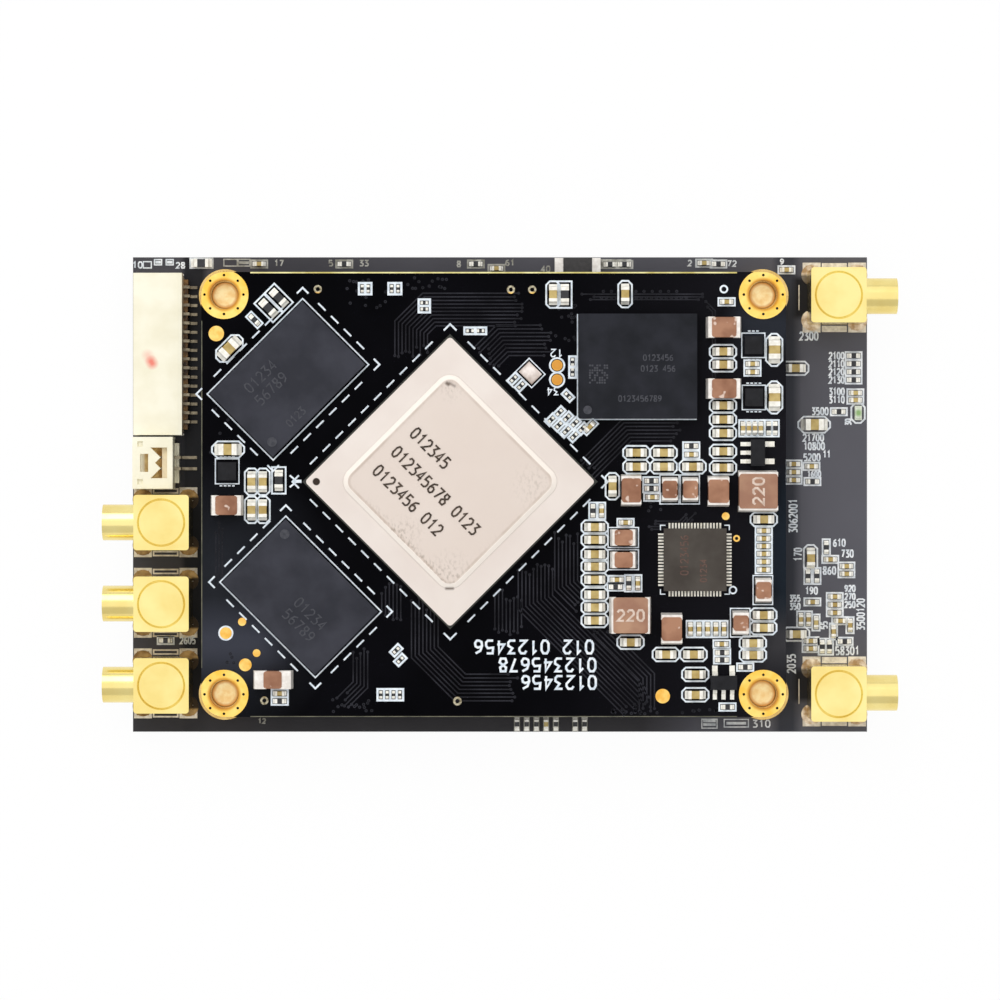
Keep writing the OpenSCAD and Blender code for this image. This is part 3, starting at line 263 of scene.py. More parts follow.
def mitre_at(points, i, closed=False):
    """The way across a line at one of its points, longer where the line bends."""
    last = len(points) - 1
    here, ahead = points[i], points[0 if i == last else i + 1]
    into = (here - points[i - 1] if i or closed else ahead - here).normalized()
    out = (ahead - here if i < last or closed else into).normalized()
    along = (into + out).normalized()
    across = Vector((-along.y, along.x))
    return across / max(LEAST_MITRE, across.dot(Vector((-into.y, into.x))))


def print_line(ink, points, width, closed=False, thick=INK_T):
    """One flat raised line along the points, with mitred corners. Sizes in millimetres."""
    points = [Vector(p) for p in points]
    last = len(points) - 1
    first_corner = len(ink["corners"])
    top = ink["level"] + thick + ink["rise"] * (ink["lines"] % RISE_STEPS)
    climb = 0.0 if closed else ink["rise"]
    ink["lines"] += 1
    for i, here in enumerate(points):
        mitre = mitre_at(points, i, closed)
        for side in (width / 2, -width / 2):
            x, y = here + mitre * side
            for z in (ink["level"], top + climb * i):
                ink["corners"].append((x * MM, y * MM, z * MM))
    for i in range(last + 1 if closed else last):
        a = first_corner + 4 * i
        b = first_corner + (4 * (i + 1) if i < last else 0)
        ink["faces"] += [(a + 1, a + 3, b + 3, b + 1), (a, b, b + 2, a + 2),
                         (a, a + 1, b + 1, b), (a + 2, b + 2, b + 3, a + 3)]
    if not closed:
        a, b = first_corner, first_corner + 4 * last
        ink["faces"] += [(a, a + 2, a + 3, a + 1), (b, b + 1, b + 3, b + 2)]


def print_digits(ink, text, centre, height, turn, width=0.15, narrow=1.0):
    """Plain digits in a row, centred on a point and turned by an angle in degrees."""
    wide = narrow * height
    start = (DIGIT_GAP - DIGIT_PITCH * len(text)) * wide / 2
    for i, letter in enumerate(text):
        if letter != " ":
            left = start + DIGIT_PITCH * wide * i
            print_line(ink, [turned(centre, turn, left + x * wide, (y - 0.5) * height)
                             for x, y in DIGITS[letter]], width)


def print_frame(ink, centre, length, depth, width, turn=0.0, cut=0.0):
    """Closed outline of an oblong, with its corners cut off by a length."""
    x, y = length / 2, depth / 2
    outline = [(x, y - cut), (x - cut, y), (cut - x, y), (-x, y - cut),
               (-x, cut - y), (cut - x, -y), (x - cut, -y), (x, cut - y)]
    if not cut:
        outline = [(x, y), (-x, y), (-x, -y), (x, -y)]
    print_line(ink, [turned(centre, turn, a, b) for a, b in outline], width, closed=True)


def print_ring(ink, centre, diameter, width, thick=INK_T, steps=20):
    print_line(ink, [turned(centre, 360 * i / steps, diameter / 2, 0.0) for i in range(steps)],
               width, closed=True, thick=thick)


def stand(name, data):
    """Puts an object with this mesh, lamp or lens into the scene."""
    thing = bpy.data.objects.new(name, data)
    bpy.context.scene.collection.objects.link(thing)
    return thing


def stand_mesh(name, corners, faces, finish):
    mesh = bpy.data.meshes.new(name)
    mesh.from_pydata(corners, [], faces)
    mesh.materials.append(finish)
    return stand(name, mesh)


def finish_print(ink, name, finish):
    """Makes the print's piece, and attaches it to the root body."""
    piece = stand_mesh(name, ink["corners"], ink["faces"], finish)
    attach(piece, "root")


carrier_print = new_print("carrier_board", LINE_RISE)
SMALL_STROKE, SMALL_NARROW, THIN_LINE = 0.17, 0.68, 0.13
# Digits on the right strip: centre X and Y, height, turn, text
for x, y, height, turn, text in (
        (34.5, 17.7, 0.85, 0, "2300"), (37.6, 15.5, 0.7, 0, "2100"), (37.6, 14.6, 0.7, 0, "2110"),
        (37.6, 13.7, 0.7, 0, "2120"), (37.6, 12.8, 0.7, 0, "2130"), (37.62, 11.5, 0.7, 0, "3100"),
        (37.62, 10.6, 0.7, 0, "3110"), (35.75, 9.3, 0.75, 0, "3500"), (35.0, 6.35, 0.75, 0, "21700"),
        (35.1, 5.4, 0.75, 0, "10800"), (36.5, 4.5, 0.7, 0, "11"), (34.85, 4.15, 0.75, 0, "5200"),
        (35.1, 2.3, 0.6, 0, "1600"), (32.75, -2.4, 0.85, 90, "3062001"), (37.9, -5.4, 0.75, 0, "610"),
        (33.3, -6.7, 0.8, 90, "170"), (38.8, -6.6, 0.75, 0, "730"), (36.8, -8.5, 0.8, 0, "860"),
        (34.8, -10.75, 0.75, 0, "190"), (32.95, -11.6, 0.65, 0, "355"), (32.95, -12.5, 0.65, 0, "350"),
        (39.1, -10.5, 0.65, 0, "920"), (39.1, -11.4, 0.65, 0, "270"), (39.1, -12.3, 0.65, 0, "250"),
        (38.9, 8.1, 0.6, 90, "30"), (40.3, -13.4, 0.8, 90, "3500120"), (36.2, -14.6, 0.7, 90, "55"),
        (38.8, -17.45, 0.85, 0, "58301"), (32.55, -18.9, 0.85, 90, "2035"),
        (-34.9, -16.3, 0.7, 0, "2605")):
    print_digits(carrier_print, text, (x, y), height, turn, SMALL_STROKE, SMALL_NARROW)
# Digits on the upper and the lower strip
for x, y, height, text in (
        (-24.7, 25.85, 0.6, "17"), (-18.9, 25.85, 0.6, "5"), (-15.2, 25.85, 0.6, "33"),
        (-4.6, 25.75, 0.6, "8"), (1.1, 25.9, 0.6, "61"), (5.1, 25.2, 0.6, "40"),
        (21.2, 25.85, 0.6, "2"), (25.9, 25.8, 0.6, "72"), (31.5, 26.0, 0.55, "9"),
        (29.2, -25.6, 0.75, "310"), (-26.6, -25.3, 0.5, "12"), (-35.7, 25.6, 0.6, "28"),
        (-40.5, 25.65, 0.65, "10")):
    print_digits(carrier_print, text, (x, y), height, 0)
# Frames on these strips, and bars in them
for x, y, length, depth in ((12.9, 25.75, 3.4, 0.95), (26.4, -25.55, 2.7, 0.85),
                            (-39.4, 25.66, 0.9, 0.7), (-30.1, 25.9, 1.5, 0.75),
                            (-28.6, 25.9, 1.3, 0.75), (23.4, -25.6, 1.7, 1.0),
                            (-38.2, 25.95, 0.8, 0.6), (-36.9, 25.95, 0.8, 0.6)):
    print_frame(carrier_print, (x, y), length, depth, THIN_LINE)
BAR_W = 0.3
for x, y, length in ((23.4, -25.3, 1.4), (23.4, -25.7, 1.4), (26.4, -25.55, 2.2),
                     (-28.6, 25.9, 1.1), (-38.2, 25.95, 0.6), (-36.9, 25.95, 0.6)):
    print_line(carrier_print, [(x - length / 2, y), (x + length / 2, y)], BAR_W)
finish_print(carrier_print, "carrier_print", carrier_ink)

# Base screws and standoffs: turned brass standoffs between the boards, and plated pan head
# screws put in from below, on whose heads the board stands.
wear("standoffs", mottled("turned_brass", (0.62, 0.4, 0.13), (0.78, 0.54, 0.2), 0.001,
                          metal=1.0, rough=(0.22, 0.34)))
SCREW_AXES = [(x, y) for x in (-30.45, 29.05) for y in (-22.05, 22.05)]
SHADE_RING_IN, SHADE_RING_OUT = (1.05, 1.4), (1.6, 1.7)
screw_gold, tree, shader = new_finish("screw_gold", metal=0.75, rough=0.3)
bright = two_tones(tree, 0.0008, (0.9, 0.6, 0.24), (1.0, 0.8, 0.42))
for axis in SCREW_AXES:
    # Painted shade: a darker ring round the screw's end, inside the plated hole
    out_from_axis = plan_distance(tree, axis)
    shade_ring_start = span_of(tree, out_from_axis, *SHADE_RING_IN)
    over = span_of(tree, out_from_axis, *SHADE_RING_OUT, 1.0, 0.0)
    bright = blend_of(tree, times(tree, shade_ring_start, over), bright, (0.62, 0.27, 0.05))
coat(tree, shader, bright, 0.0005, (0.24, 0.4))
relief(tree, shader, grain(tree, 0.0006, stretch=(1.0, 1.0, 0.2)), 0.00003)
wear("base_screws", screw_gold)

# Board connectors: four pairs of black moulded housings, sockets on the carrier and plugs under
# the core board, with rows of gold flashed contacts that are soldered to the boards.
connector_black = mottled("connector_black", (0.012, 0.012, 0.014), (0.022, 0.022, 0.026), 0.002,
                          rough=(0.45, 0.6))
connector_gold = mottled("connector_gold", (0.6, 0.45, 0.18), (0.8, 0.62, 0.28), 0.0005,
                         metal=1.0, rough=(0.25, 0.4))
for half in ("socket", "plug"):
    wear(f"stack_{half}s", connector_black)
    wear(f"stack_{half}_contacts", connector_gold)

# Video jacks: machined square bodies, barrels and caps with bright gold plating, white
# insulators and a gold centre contact, soldered into the carrier by four legs each.
JACKS = ("upper_left", "middle_left", "lower_left", "upper_right", "lower_right")
jack_gold = mottled("jack_gold", (0.86, 0.68, 0.24), (0.93, 0.79, 0.33), 0.004,
                    metal=1.0, rough=(0.14, 0.24), depth=0.000004)
jack_white = mottled("jack_white", (0.8, 0.79, 0.75), (0.88, 0.87, 0.84), 0.001)
pad_tin, tree, shader = new_finish("pad_tin", metal=0.7, rough=0.4)
tin = two_tones(tree, 0.0008, (0.17, 0.09, 0.025), (0.4, 0.25, 0.09))
pale_tin = two_tones(tree, 0.0008, (0.4, 0.25, 0.12), (0.9, 0.78, 0.62))
tin = blend_of(tree, span_of(tree, place_along(tree, "X"), 0.0, 0.001), tin, pale_tin)
SCREENED = {"size": 0.0006, "rough": (0.5, 0.7), "shine": 0.3, "depth": 0.00001}
jack_ink = mottled("jack_ink", (0.6, 0.53, 0.43), (0.9, 0.82, 0.69), **SCREENED)
LEG_SPREAD, PAD_L, PAD_LOW, PAD_HIGH, PAD_LINE = 2.54, 1.7, 2.3, 3.75, 0.17
MARK_Y, MARK_HALF, MARK_W, MARK_FRAME = 3.5, 1.4, 0.7, (2.7, 0.44, 0.18)
SIDE_X, SIDE_W, SHADED_PAD_X, FRAME_RISE = 3.95, 0.12, 3.4, 0.0009


def plan_middle(node):
    """Centre of a CAD node in plan, in millimetres."""
    low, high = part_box(node)
    return (low.x + high.x) / 2 / MM, (low.y + high.y) / 2 / MM


jack_print, jack_pads = new_print("carrier_board", FRAME_RISE), new_print("carrier_board")
for jack in JACKS:
    for part in ("body", "cap", "contact"):
        wear(f"{jack}_jack_{part}", jack_gold)
    wear(f"{jack}_jack_insulator", jack_white)
    x, y = plan_middle(f"{jack}_jack_cap")
    # Painted shadow blackens the solder beside the body, on the core board's side
    black_y, black_half = (y, 2.6) if x < 0 else (y + 0.7, 1.6)
    tin = stain(tree, tin, (0.022, 0.013, 0.006), (x - math.copysign(SHADED_PAD_X, x), black_y),
                (0.35, black_half), 0.1, 0.35, 0.96 if x < 0 else 0.8)
    for side in (-1, 1):
        if x < 0:
            print_frame(jack_print, (x, y + side * MARK_Y), *MARK_FRAME)
        else:
            print_line(jack_print, [(x - MARK_HALF, y + side * MARK_Y),
                                    (x + MARK_HALF, y + side * MARK_Y)], MARK_W)
        for end in (-1, 1):
            leg_x = x + end * LEG_SPREAD
            print_line(jack_pads, [(leg_x, y + side * (PAD_LOW + PAD_LINE)),
                                   (leg_x, y + side * (PAD_HIGH - PAD_LINE))],
                       PAD_L - 2 * PAD_LINE)
            print_frame(jack_print, (leg_x, y + side * (PAD_LOW + PAD_HIGH) / 2), PAD_L - 0.02,
                        PAD_HIGH - PAD_LOW - 0.02, 2 * PAD_LINE - 0.02)
    if x > 0:
        print_line(jack_print, [(x - SIDE_X, y - MARK_HALF), (x - SIDE_X, y + MARK_HALF)], SIDE_W)
coat(tree, shader, tin, 0.0004, (0.3, 0.5), (0.0004, 0.00002))
wear("jack_solder_pads", pad_tin)
finish_print(jack_print, "jack_print", jack_ink)
finish_print(jack_pads, "jack_pads", pad_tin)

# Headers: cream nylon housings, soldered by steel anchors at their ends, with tinned contacts.
# The nylon lets light through; its amber glow inside the mouths and windows is painted into the
# colour.
header_cream, tree, shader = new_finish("header_cream", rough=0.45, shine=0.4)
cream = two_tones(tree, 0.003, (0.88, 0.83, 0.64), (0.95, 0.91, 0.74))
ledge_shade = two_tones(tree, 0.0008, (0.05, 0.022, 0.006), (0.34, 0.17, 0.04))
glow = two_tones(tree, 0.001, (0.5, 0.28, 0.07), (0.82, 0.6, 0.26))
power_middle = plan_middle("power_header_housing")
power_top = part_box("power_header_housing")[1].z
mouth = span_of(tree, plan_distance(tree, power_middle, (1.3, 2.0)), 0.0, 0.3, 1.0, 0.0)
below_roof = span_of(tree, place_along(tree, "Z"), power_top - 0.0012, power_top - 0.0003, 1.0, 0.0)
cream = blend_of(tree, times(tree, mouth, below_roof), cream, glow)
# A dot of red ink, put on by hand after a test
for spot, most in (((-38.65, 14.65), 0.9), ((-39.05, 15.35), 0.35)):
    cream = stain(tree, cream, (0.86, 0.16, 0.11), spot, (0.02, 0.12), 0.1, 0.75, most, 30)
# Painted shade: the ledge behind the signal header's rear face is dark amber
rear_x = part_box("signal_header_housing")[1].x - 0.0005
behind = span_of(tree, place_along(tree, "X"), rear_x - 0.00002, rear_x + 0.00002)
coat(tree, shader, blend_of(tree, behind, cream, ledge_shade), 0.0006, (0.38, 0.5), (0.0004, 0.00001))
contact_tin = mottled("contact_tin", (0.16, 0.13, 0.09), (0.34, 0.29, 0.2), 0.0006,
                      metal=0.9, rough=(0.3, 0.45))
anchor_tin = mottled("anchor_tin", (0.55, 0.52, 0.45), (0.75, 0.72, 0.66), 0.0006,
                     metal=0.8, rough=(0.3, 0.45))
for header in ("signal", "power"):
    wear(f"{header}_header_housing", header_cream)
    wear(f"{header}_header_contacts", contact_tin)
    wear(f"{header}_header_anchors", anchor_tin)

# Core board: laminate with a glossy black solder mask, which stops short of the edges so that
# bare laminate shows there. Gold plated eyelets sit in its corner holes, and the copper tracks
# stand up a little under the mask.
core_low, core_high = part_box("core_board")
core_top = core_high.z / MM
core_left, core_right = core_low.x / MM, core_high.x / MM
core_x = (core_left + core_right) / 2
core_w = (core_high.y - core_low.y) / MM
core_mask, tree, shader = new_finish("core_mask", rough=0.2, shine=0.025)
mask = two_tones(tree, 0.012, (0.0004, 0.0004, 0.001), (0.0018, 0.0017, 0.003))
haze = span_of(tree, place_along(tree, "X"), 0.008, 0.034, 0.0, 0.8)
mask = blend_of(tree, haze, mask, (0.011, 0.0105, 0.014))
# A grey haze dulls the mask in three corners and along the right edge
for centre, half, soft, most, colour in (
        ((-31.0, -12.0), (0.5, 4.0), 12.0, 0.45, (0.036, 0.04, 0.05)),
        ((-29.5, -16.3), (3.0, 0.6), 4.5, 0.85, (0.048, 0.051, 0.068)),
        ((31.0, -16.0), (0.5, 0.8), 4.5, 0.85, (0.042, 0.041, 0.045)),
        ((31.5, -6.0), (0.3, 6.0), 3.5, 0.5, (0.014, 0.024, 0.036)),
        ((29.5, 18.4), (2.3, 0.6), 3.0, 0.6, (0.03, 0.035, 0.046))):
    mask = stain(tree, mask, colour, centre, half, far=soft, most=most)
edge = two_tones(tree, 0.0006, (0.05, 0.05, 0.03), (0.14, 0.13, 0.07), LAYERED)
coat(tree, shader, blend_of(tree, side_share(tree), mask, edge), 0.003, (0.16, 0.28),
     (0.0007, 0.000008), (0.3, 0.7))
wear("core_board", core_mask)
hole_gold, tree, shader = new_finish("hole_gold", metal=0.85, rough=0.3)
gold = two_tones(tree, 0.002, (0.98, 0.57, 0.08), (1.0, 0.75, 0.22))
# Painted shade: darker orange round the inner edge of each plated ring, at the hole
for axis in SCREW_AXES:
    gold = stain(tree, gold, (0.55, 0.22, 0.02), axis, near=1.66, far=1.95, most=0.85)
coat(tree, shader, gold, 0.0006, (0.25, 0.4), (0.0005, 0.00001))
wear("core_hole_plating", hole_gold)
test_gold, tree, shader = new_finish("test_gold", metal=0.7, rough=0.35)
outward = worked_out(tree, "ABSOLUTE", place_along(tree, "Y"))
gold = two_tones(tree, 0.001, (0.86, 0.46, 0.07), (1.0, 0.68, 0.2))
olive = two_tones(tree, 0.0003, (0.16, 0.13, 0.07), (0.55, 0.5, 0.36))
for centre_y in (12.65, 14.25):
    gold = stain(tree, gold, (0.62, 0.25, 0.03), (6.3, centre_y), near=0.45, far=0.9, most=0.85)
by_edge = times(tree, span_of(tree, outward, 0.0222, 0.0224),
                span_of(tree, plan_distance(tree, (18.1, -22.2)), 1.2, 1.4))
coat(tree, shader, blend_of(tree, by_edge, gold, olive), 0.0005, (0.28, 0.42))
wear("test_pads", test_gold)
BARE = {"size": 0.002, "rough": (0.4, 0.6), "shine": 0.4}
bare_laminate = mottled("bare_laminate", (0.6, 0.5, 0.14), (0.95, 0.88, 0.42), **BARE)
bare_dull = mottled("bare_dull", (0.09, 0.09, 0.06), (0.22, 0.21, 0.14), **BARE)
RIM_STOP, RIM_T = 5.4, 0.01
upper_rim, dull_rims = new_print("core_board"), new_print("core_board")
print_line(upper_rim, [(core_left + RIM_STOP, core_w / 2 - 0.08),
                       (core_right - RIM_STOP, core_w / 2 - 0.08)], 0.15, thick=RIM_T)
finish_print(upper_rim, "core_upper_rim", bare_laminate)
print_line(dull_rims, [(core_left + 0.05, RIM_STOP - core_w / 2),
                       (core_left + 0.05, core_w / 2 - RIM_STOP)], 0.08, thick=RIM_T)
print_line(dull_rims, [(core_left + RIM_STOP, 0.05 - core_w / 2),
                       (core_right - RIM_STOP, 0.05 - core_w / 2)], 0.08, thick=RIM_T)
finish_print(dull_rims, "core_dull_rims", bare_dull)

# Tracks of the core board: copper etched under the solder mask, which stands up a little over
# them. Bundles of them run side by side, and each ends at small plated holes.
track_finish = mottled("track_mask", (0.008, 0.008, 0.011), (0.023, 0.023, 0.03), 0.003,
                       rough=(0.2, 0.35), shine=0.1)
TRACK_W, TRACK_T, HOLE_LINE, HOLE_T, HOLE_STEPS = 0.15, 0.012, 0.12, 0.014, 8
tracks = new_print("core_board")
uneven = random.Random(7)


def lay_tracks(points, count, pitch):
    """Parallel tracks that turn together, centred on a route. Each ends at plated holes."""
    route = [Vector(p) for p in points]
    for i in range(count):
        shift = (i - (count - 1) / 2) * pitch
        track = [here + mitre_at(route, k) * shift for k, here in enumerate(route)]
        for end, inner in ((0, 1), (-1, -2)):
            inward = (track[inner] - track[end]).normalized()
            track[end] = track[end] + inward * uneven.uniform(-0.5, 0.9)
            print_ring(tracks, track[end], 0.22, HOLE_LINE, HOLE_T, HOLE_STEPS)
        print_line(tracks, track, TRACK_W, thick=TRACK_T)


for route, count, pitch in (
        ([(2.0, 20.4), (-7.8, 20.4), (-9.8, 18.4), (-9.8, 15.6)], 10, 0.4),
        ([(5.3, 17.0), (0.3, 17.0), (-1.4, 15.3)], 9, 0.42),
        ([(19.7, 7.1), (14.0, 7.1), (9.6, 2.7)], 7, 0.4),
        ([(0.9, -11.0), (0.9, -15.4)], 8, 0.42),
        ([(3.9, -8.2), (3.9, -11.9), (15.3, -23.3)], 10, 0.42),
        ([(7.3, -4.6), (7.3, -10.0), (9.4, -12.1)], 7, 0.42),
        ([(-8.3, -11.9), (-8.3, -17.4), (-4.4, -21.3), (1.5, -21.3)], 8, 0.42),
        ([(-12.0, -10.2), (-12.0, -13.4)], 6, 0.42),
        ([(11.3, -15.2), (16.2, -20.1), (16.2, -23.6)], 5, 0.42),
        ([(-15.4, -17.4), (-15.4, -21.0), (-17.2, -22.8)], 5, 0.4),
        ([(-31.0, -3.6), (-31.0, -9.8)], 3, 0.35),
        ([(22.6, 21.8), (9.5, 21.8)], 3, 0.3),
        ([(23.6, 8.8), (23.6, 20.2), (22.6, 21.2)], 2, 0.3),
        ([(16.5, -3.4), (20.0, -3.4), (21.3, -2.1)], 4, 0.3)):
    lay_tracks(route, count, pitch)
# Plated holes under the mask, in a row and scattered in the clear places
scatter = random.Random(4)
holes = [(11.2 + 0.55 * i, 21.7) for i in range(18)] + [(11.4 + 0.9 * i, 22.4) for i in range(10)]
for left, right, low, high, count in (
        (-10.5, -5.5, 22.6, 24.0, 14), (10.0, 16.5, -16.0, -11.8, 30),
        (12.0, 24.0, -24.2, -23.4, 26), (6.0, 8.4, 16.8, 21.0, 16), (-32.0, -29.0, -20.0, -17.4, 8),
        (-18.5, -14.0, -24.0, -22.4, 14), (-17.5, -12.0, 20.6, 24.0, 18),
        (16.0, 19.6, 8.2, 10.0, 14), (-32.0, -28.6, 4.5, 12.0, 10), (15.6, 18.2, -2.4, 0.2, 10)):
    holes += [(scatter.uniform(left, right), scatter.uniform(low, high)) for _ in range(count)]
for hole in holes:
    print_ring(tracks, hole, 0.24, HOLE_LINE, HOLE_T, HOLE_STEPS)
finish_print(tracks, "core_tracks", track_finish)

# Processor: a laminate substrate on solder balls, under a plated metal lid whose raised middle
# is stamped up. Dashes and corner marks are printed round it on the core board.
wear("processor_substrate", mottled("substrate_black", (0.01, 0.012, 0.008),
                                    (0.022, 0.026, 0.016), 0.002))
chip_x, chip_y = plan_middle("processor_lid")
PLATEAU_W, PLATEAU_R, SLOPE_W = 16.7, 1.3, 0.5
lid_metal, tree, shader = new_finish("lid_metal", rough=0.42)
plain = two_tones(tree, 0.008, (0.73, 0.645, 0.59), (0.785, 0.71, 0.655))
flat_half = PLATEAU_W / 2 - PLATEAU_R
inside = plan_distance(tree, (chip_x, chip_y), (flat_half, flat_half), 45)
on_plateau = span_of(tree, inside, PLATEAU_R, PLATEAU_R - 0.1)
patchy = span_of(tree, grain(tree, 0.006), 0.0, 1.0, 0.5, 0.9)
plain = blend_of(tree, times(tree, on_plateau, patchy), plain, (0.7, 0.6, 0.53))
# Painted highlight: the ridge's slope is paler and less metallic than the rest of the lid
on_slope = times(tree, span_of(tree, inside, PLATEAU_R - 0.12, PLATEAU_R),
                 span_of(tree, inside, PLATEAU_R + SLOPE_W, PLATEAU_R + SLOPE_W - 0.1))
plain = blend_of(tree, on_slope, plain, (0.98, 0.9, 0.82))
tree.links.new(span_of(tree, on_slope, 0.0, 1.0, 0.6, 0.1), shader.inputs["Metallic"])
# Rubbed marks inside the ridge, most of them along its lower left side and in its lower corner
rubbed = grain(tree, 0.0003, detail=8.0, stretch=(1.0, 0.6, 1.0), turn=0.6)
rubbed = span_of(tree, rubbed, 0.48, 0.66)
by_ridge = times(tree, span_of(tree, inside, 0.3, 1.0), on_plateau)
leftward = span_of(tree, place_along(tree, "X"), (chip_x + 1.5) * MM, (chip_x - 1) * MM, 0.12, 1.0)
low_side = span_of(tree, place_along(tree, "Y"), (chip_y - 1) * MM, (chip_y - 5) * MM, 0.05, 0.6)
downward = times(tree, leftward, low_side)
plain = blend_of(tree, times(tree, times(tree, rubbed, by_ridge), downward), plain,
                 (0.26, 0.2, 0.15))
for x, y, reach, most in ((0.0, -10.2, 3.2, 0.45), (9.3, -0.4, 3.0, 0.3),
                          (-4.9, -5.6, 2.4, 0.4), (0.2, 10.2, 1.8, 0.3)):
    smudge = span_of(tree, plan_distance(tree, (chip_x + x, chip_y + y)), 0.2, reach, most, 0.0)
    plain = blend_of(tree, times(tree, times(tree, smudge, rubbed), on_plateau), plain,
                     (0.3, 0.24, 0.19))
# Painted shade: a thin darker line just inside the ridge, on the raised middle
line = times(tree, span_of(tree, inside, PLATEAU_R - 0.42, PLATEAU_R - 0.26), on_plateau)
plain = blend_of(tree, times(tree, line, span_of(tree, grain(tree, 0.003), 0.35, 0.65, 0.1, 0.6)),
                 plain, (0.52, 0.42, 0.35))
# Three small burnt marks on the ridge, and a dot by the first contact
for x, y, half, turn, most in ((-0.25, 10.75, (0.12, 0.05), -35, 0.85),
                               (0.25, 10.65, (0.3, 0.0), -30, 0.6),
                               (-0.05, -11.75, (0.35, 0.0), 0, 0.8)):
    plain = stain(tree, plain, (0.1, 0.07, 0.05), (chip_x + x, chip_y + y), half, 0.02, 0.25, most,
                  turn)
plain = stain(tree, plain, (0.035, 0.022, 0.015), (chip_x - 14.7, chip_y), near=0.36, far=0.44)
coat(tree, shader, plain, 0.0009, (0.36, 0.48), (0.0003, 0.000006))
wear("processor_lid", lid_metal)
ball_tin = mottled("ball_tin", (0.45, 0.45, 0.46), (0.65, 0.65, 0.66), 0.0005, metal=1.0,
                   rough=(0.25, 0.4))
wear("processor_solder_balls", ball_tin)
# Three rows of plain digits are burnt into the raised middle, and read from the upper left
burnt_metal = mottled("burnt_metal", (0.036, 0.026, 0.019), (0.1, 0.072, 0.052), 0.0004,
                      rough=(0.5, 0.7), shine=0.2)
ROW_H, ROW_START, ROW_NARROW = 1.25, -6.9, 0.78
row_pitch = DIGIT_PITCH * ROW_NARROW * ROW_H
lid_numbers = new_print("processor_lid", LINE_RISE)
for text, up in (("012345", 1.1), ("012345678 0123", -1.8), ("0123456 012", -4.7)):
    print_digits(lid_numbers, text,
                 turned((chip_x, chip_y), -45, ROW_START + row_pitch * len(text) / 2, up),
                 ROW_H, -45, 0.2, ROW_NARROW)
finish_print(lid_numbers, "lid_numbers", burnt_metal)
# Print round the processor
core_print = new_print("core_board", LINE_RISE)
core_ink = mottled("core_ink", (0.62, 0.7, 0.78), (0.88, 0.92, 0.96), **SCREENED)
line_ink = mottled("line_ink", (0.62, 0.69, 0.76), (0.86, 0.92, 0.97), **SCREENED)
DASH, DASH_GAP, DASH_W, ANGLE_W = 1.15, 0.85, 0.19, 0.2


def print_dashes(ink, start, end, dash, gap, width):
    """Dashes from one point to another, with the first and last set in from the ends."""
    start, end = Vector(start), Vector(end)
    length, ahead = (end - start).length, (end - start).normalized()
    count = int((length - gap) / (dash + gap))
    lead = (length - count * (dash + gap) + gap) / 2
    for i in range(count):
        at = start + ahead * (lead + i * (dash + gap))
        print_line(ink, [at, at + ahead * dash], width)


def print_dashed_frame(ink, centre, length, depth, turn, arm):
    """Dashed oblong with a solid angle at each of its corners."""
    x, y = length / 2, depth / 2
    ring = [turned(centre, turn, a, b) for a, b in ((x, y), (-x, y), (-x, -y), (x, -y))]
    for i, corner in enumerate(ring):
        following = ring[(i + 1) % 4]
        ahead = (following - corner).normalized()
        print_dashes(ink, corner + ahead * arm, following - ahead * arm, DASH, DASH_GAP, DASH_W)
        back = (ring[i - 1] - corner).normalized()
        print_line(ink, [corner + back * arm, corner, corner + ahead * arm], ANGLE_W)


print_dashed_frame(core_print, (chip_x, chip_y), 24.6, 24.6, 45, 1.0)
# An arrow head at the corner with the first contact
print_line(core_print, [(-23.2, 2.1), (-22.4, 1.45), (-23.2, 0.8)], ANGLE_W)
print_line(core_print, [(-22.9, 1.45), (-21.9, 1.45)], 0.35)

# Memory and storage chips: black epoxy bodies on solder balls, each in a printed frame. The
# two memory chips also have dashes and corner marks round them.
memory_black = mottled("memory_black", (0.026, 0.027, 0.036), (0.042, 0.043, 0.056), 0.004,
                       rough=(0.45, 0.6), shine=0.15, depth=0.00001)
wear("flash_storage_chip", mottled("flash_black", (0.011, 0.012, 0.016), (0.02, 0.021, 0.028),
                                   0.003, rough=(0.45, 0.6), shine=0.12, depth=0.00001))
wear("memory_solder_balls", ball_tin)
MEMORY_L, MEMORY_W, FRAME_ROOM, DASHED_ROOM = 14.4, 9.8, 0.5, 2.2
DOT_X, DOT_Y, DOT_T = 6.1, -3.7, 0.01
first_dots = new_print("core_board")
dot_grey = mottled("dot_grey", (0.055, 0.056, 0.066), (0.08, 0.082, 0.095), 0.0004,
                   rough=(0.6, 0.8), shine=0.1)
for node, turn in (("upper_memory_chip", 45), ("lower_memory_chip", 135)):
    wear(node, memory_black)
    centre = plan_middle(node)
    print_frame(core_print, centre, MEMORY_L + FRAME_ROOM, MEMORY_W + FRAME_ROOM, 0.16, turn)
    print_dashed_frame(core_print, centre, MEMORY_L + DASHED_ROOM, MEMORY_W + DASHED_ROOM, turn, 0.9)
    first_dots["level"] = top_of(node)
    dot = turned(centre, turn, DOT_X if turn > 90 else -DOT_X, DOT_Y)
    print_ring(first_dots, dot, 0.55, 0.5, thick=DOT_T)
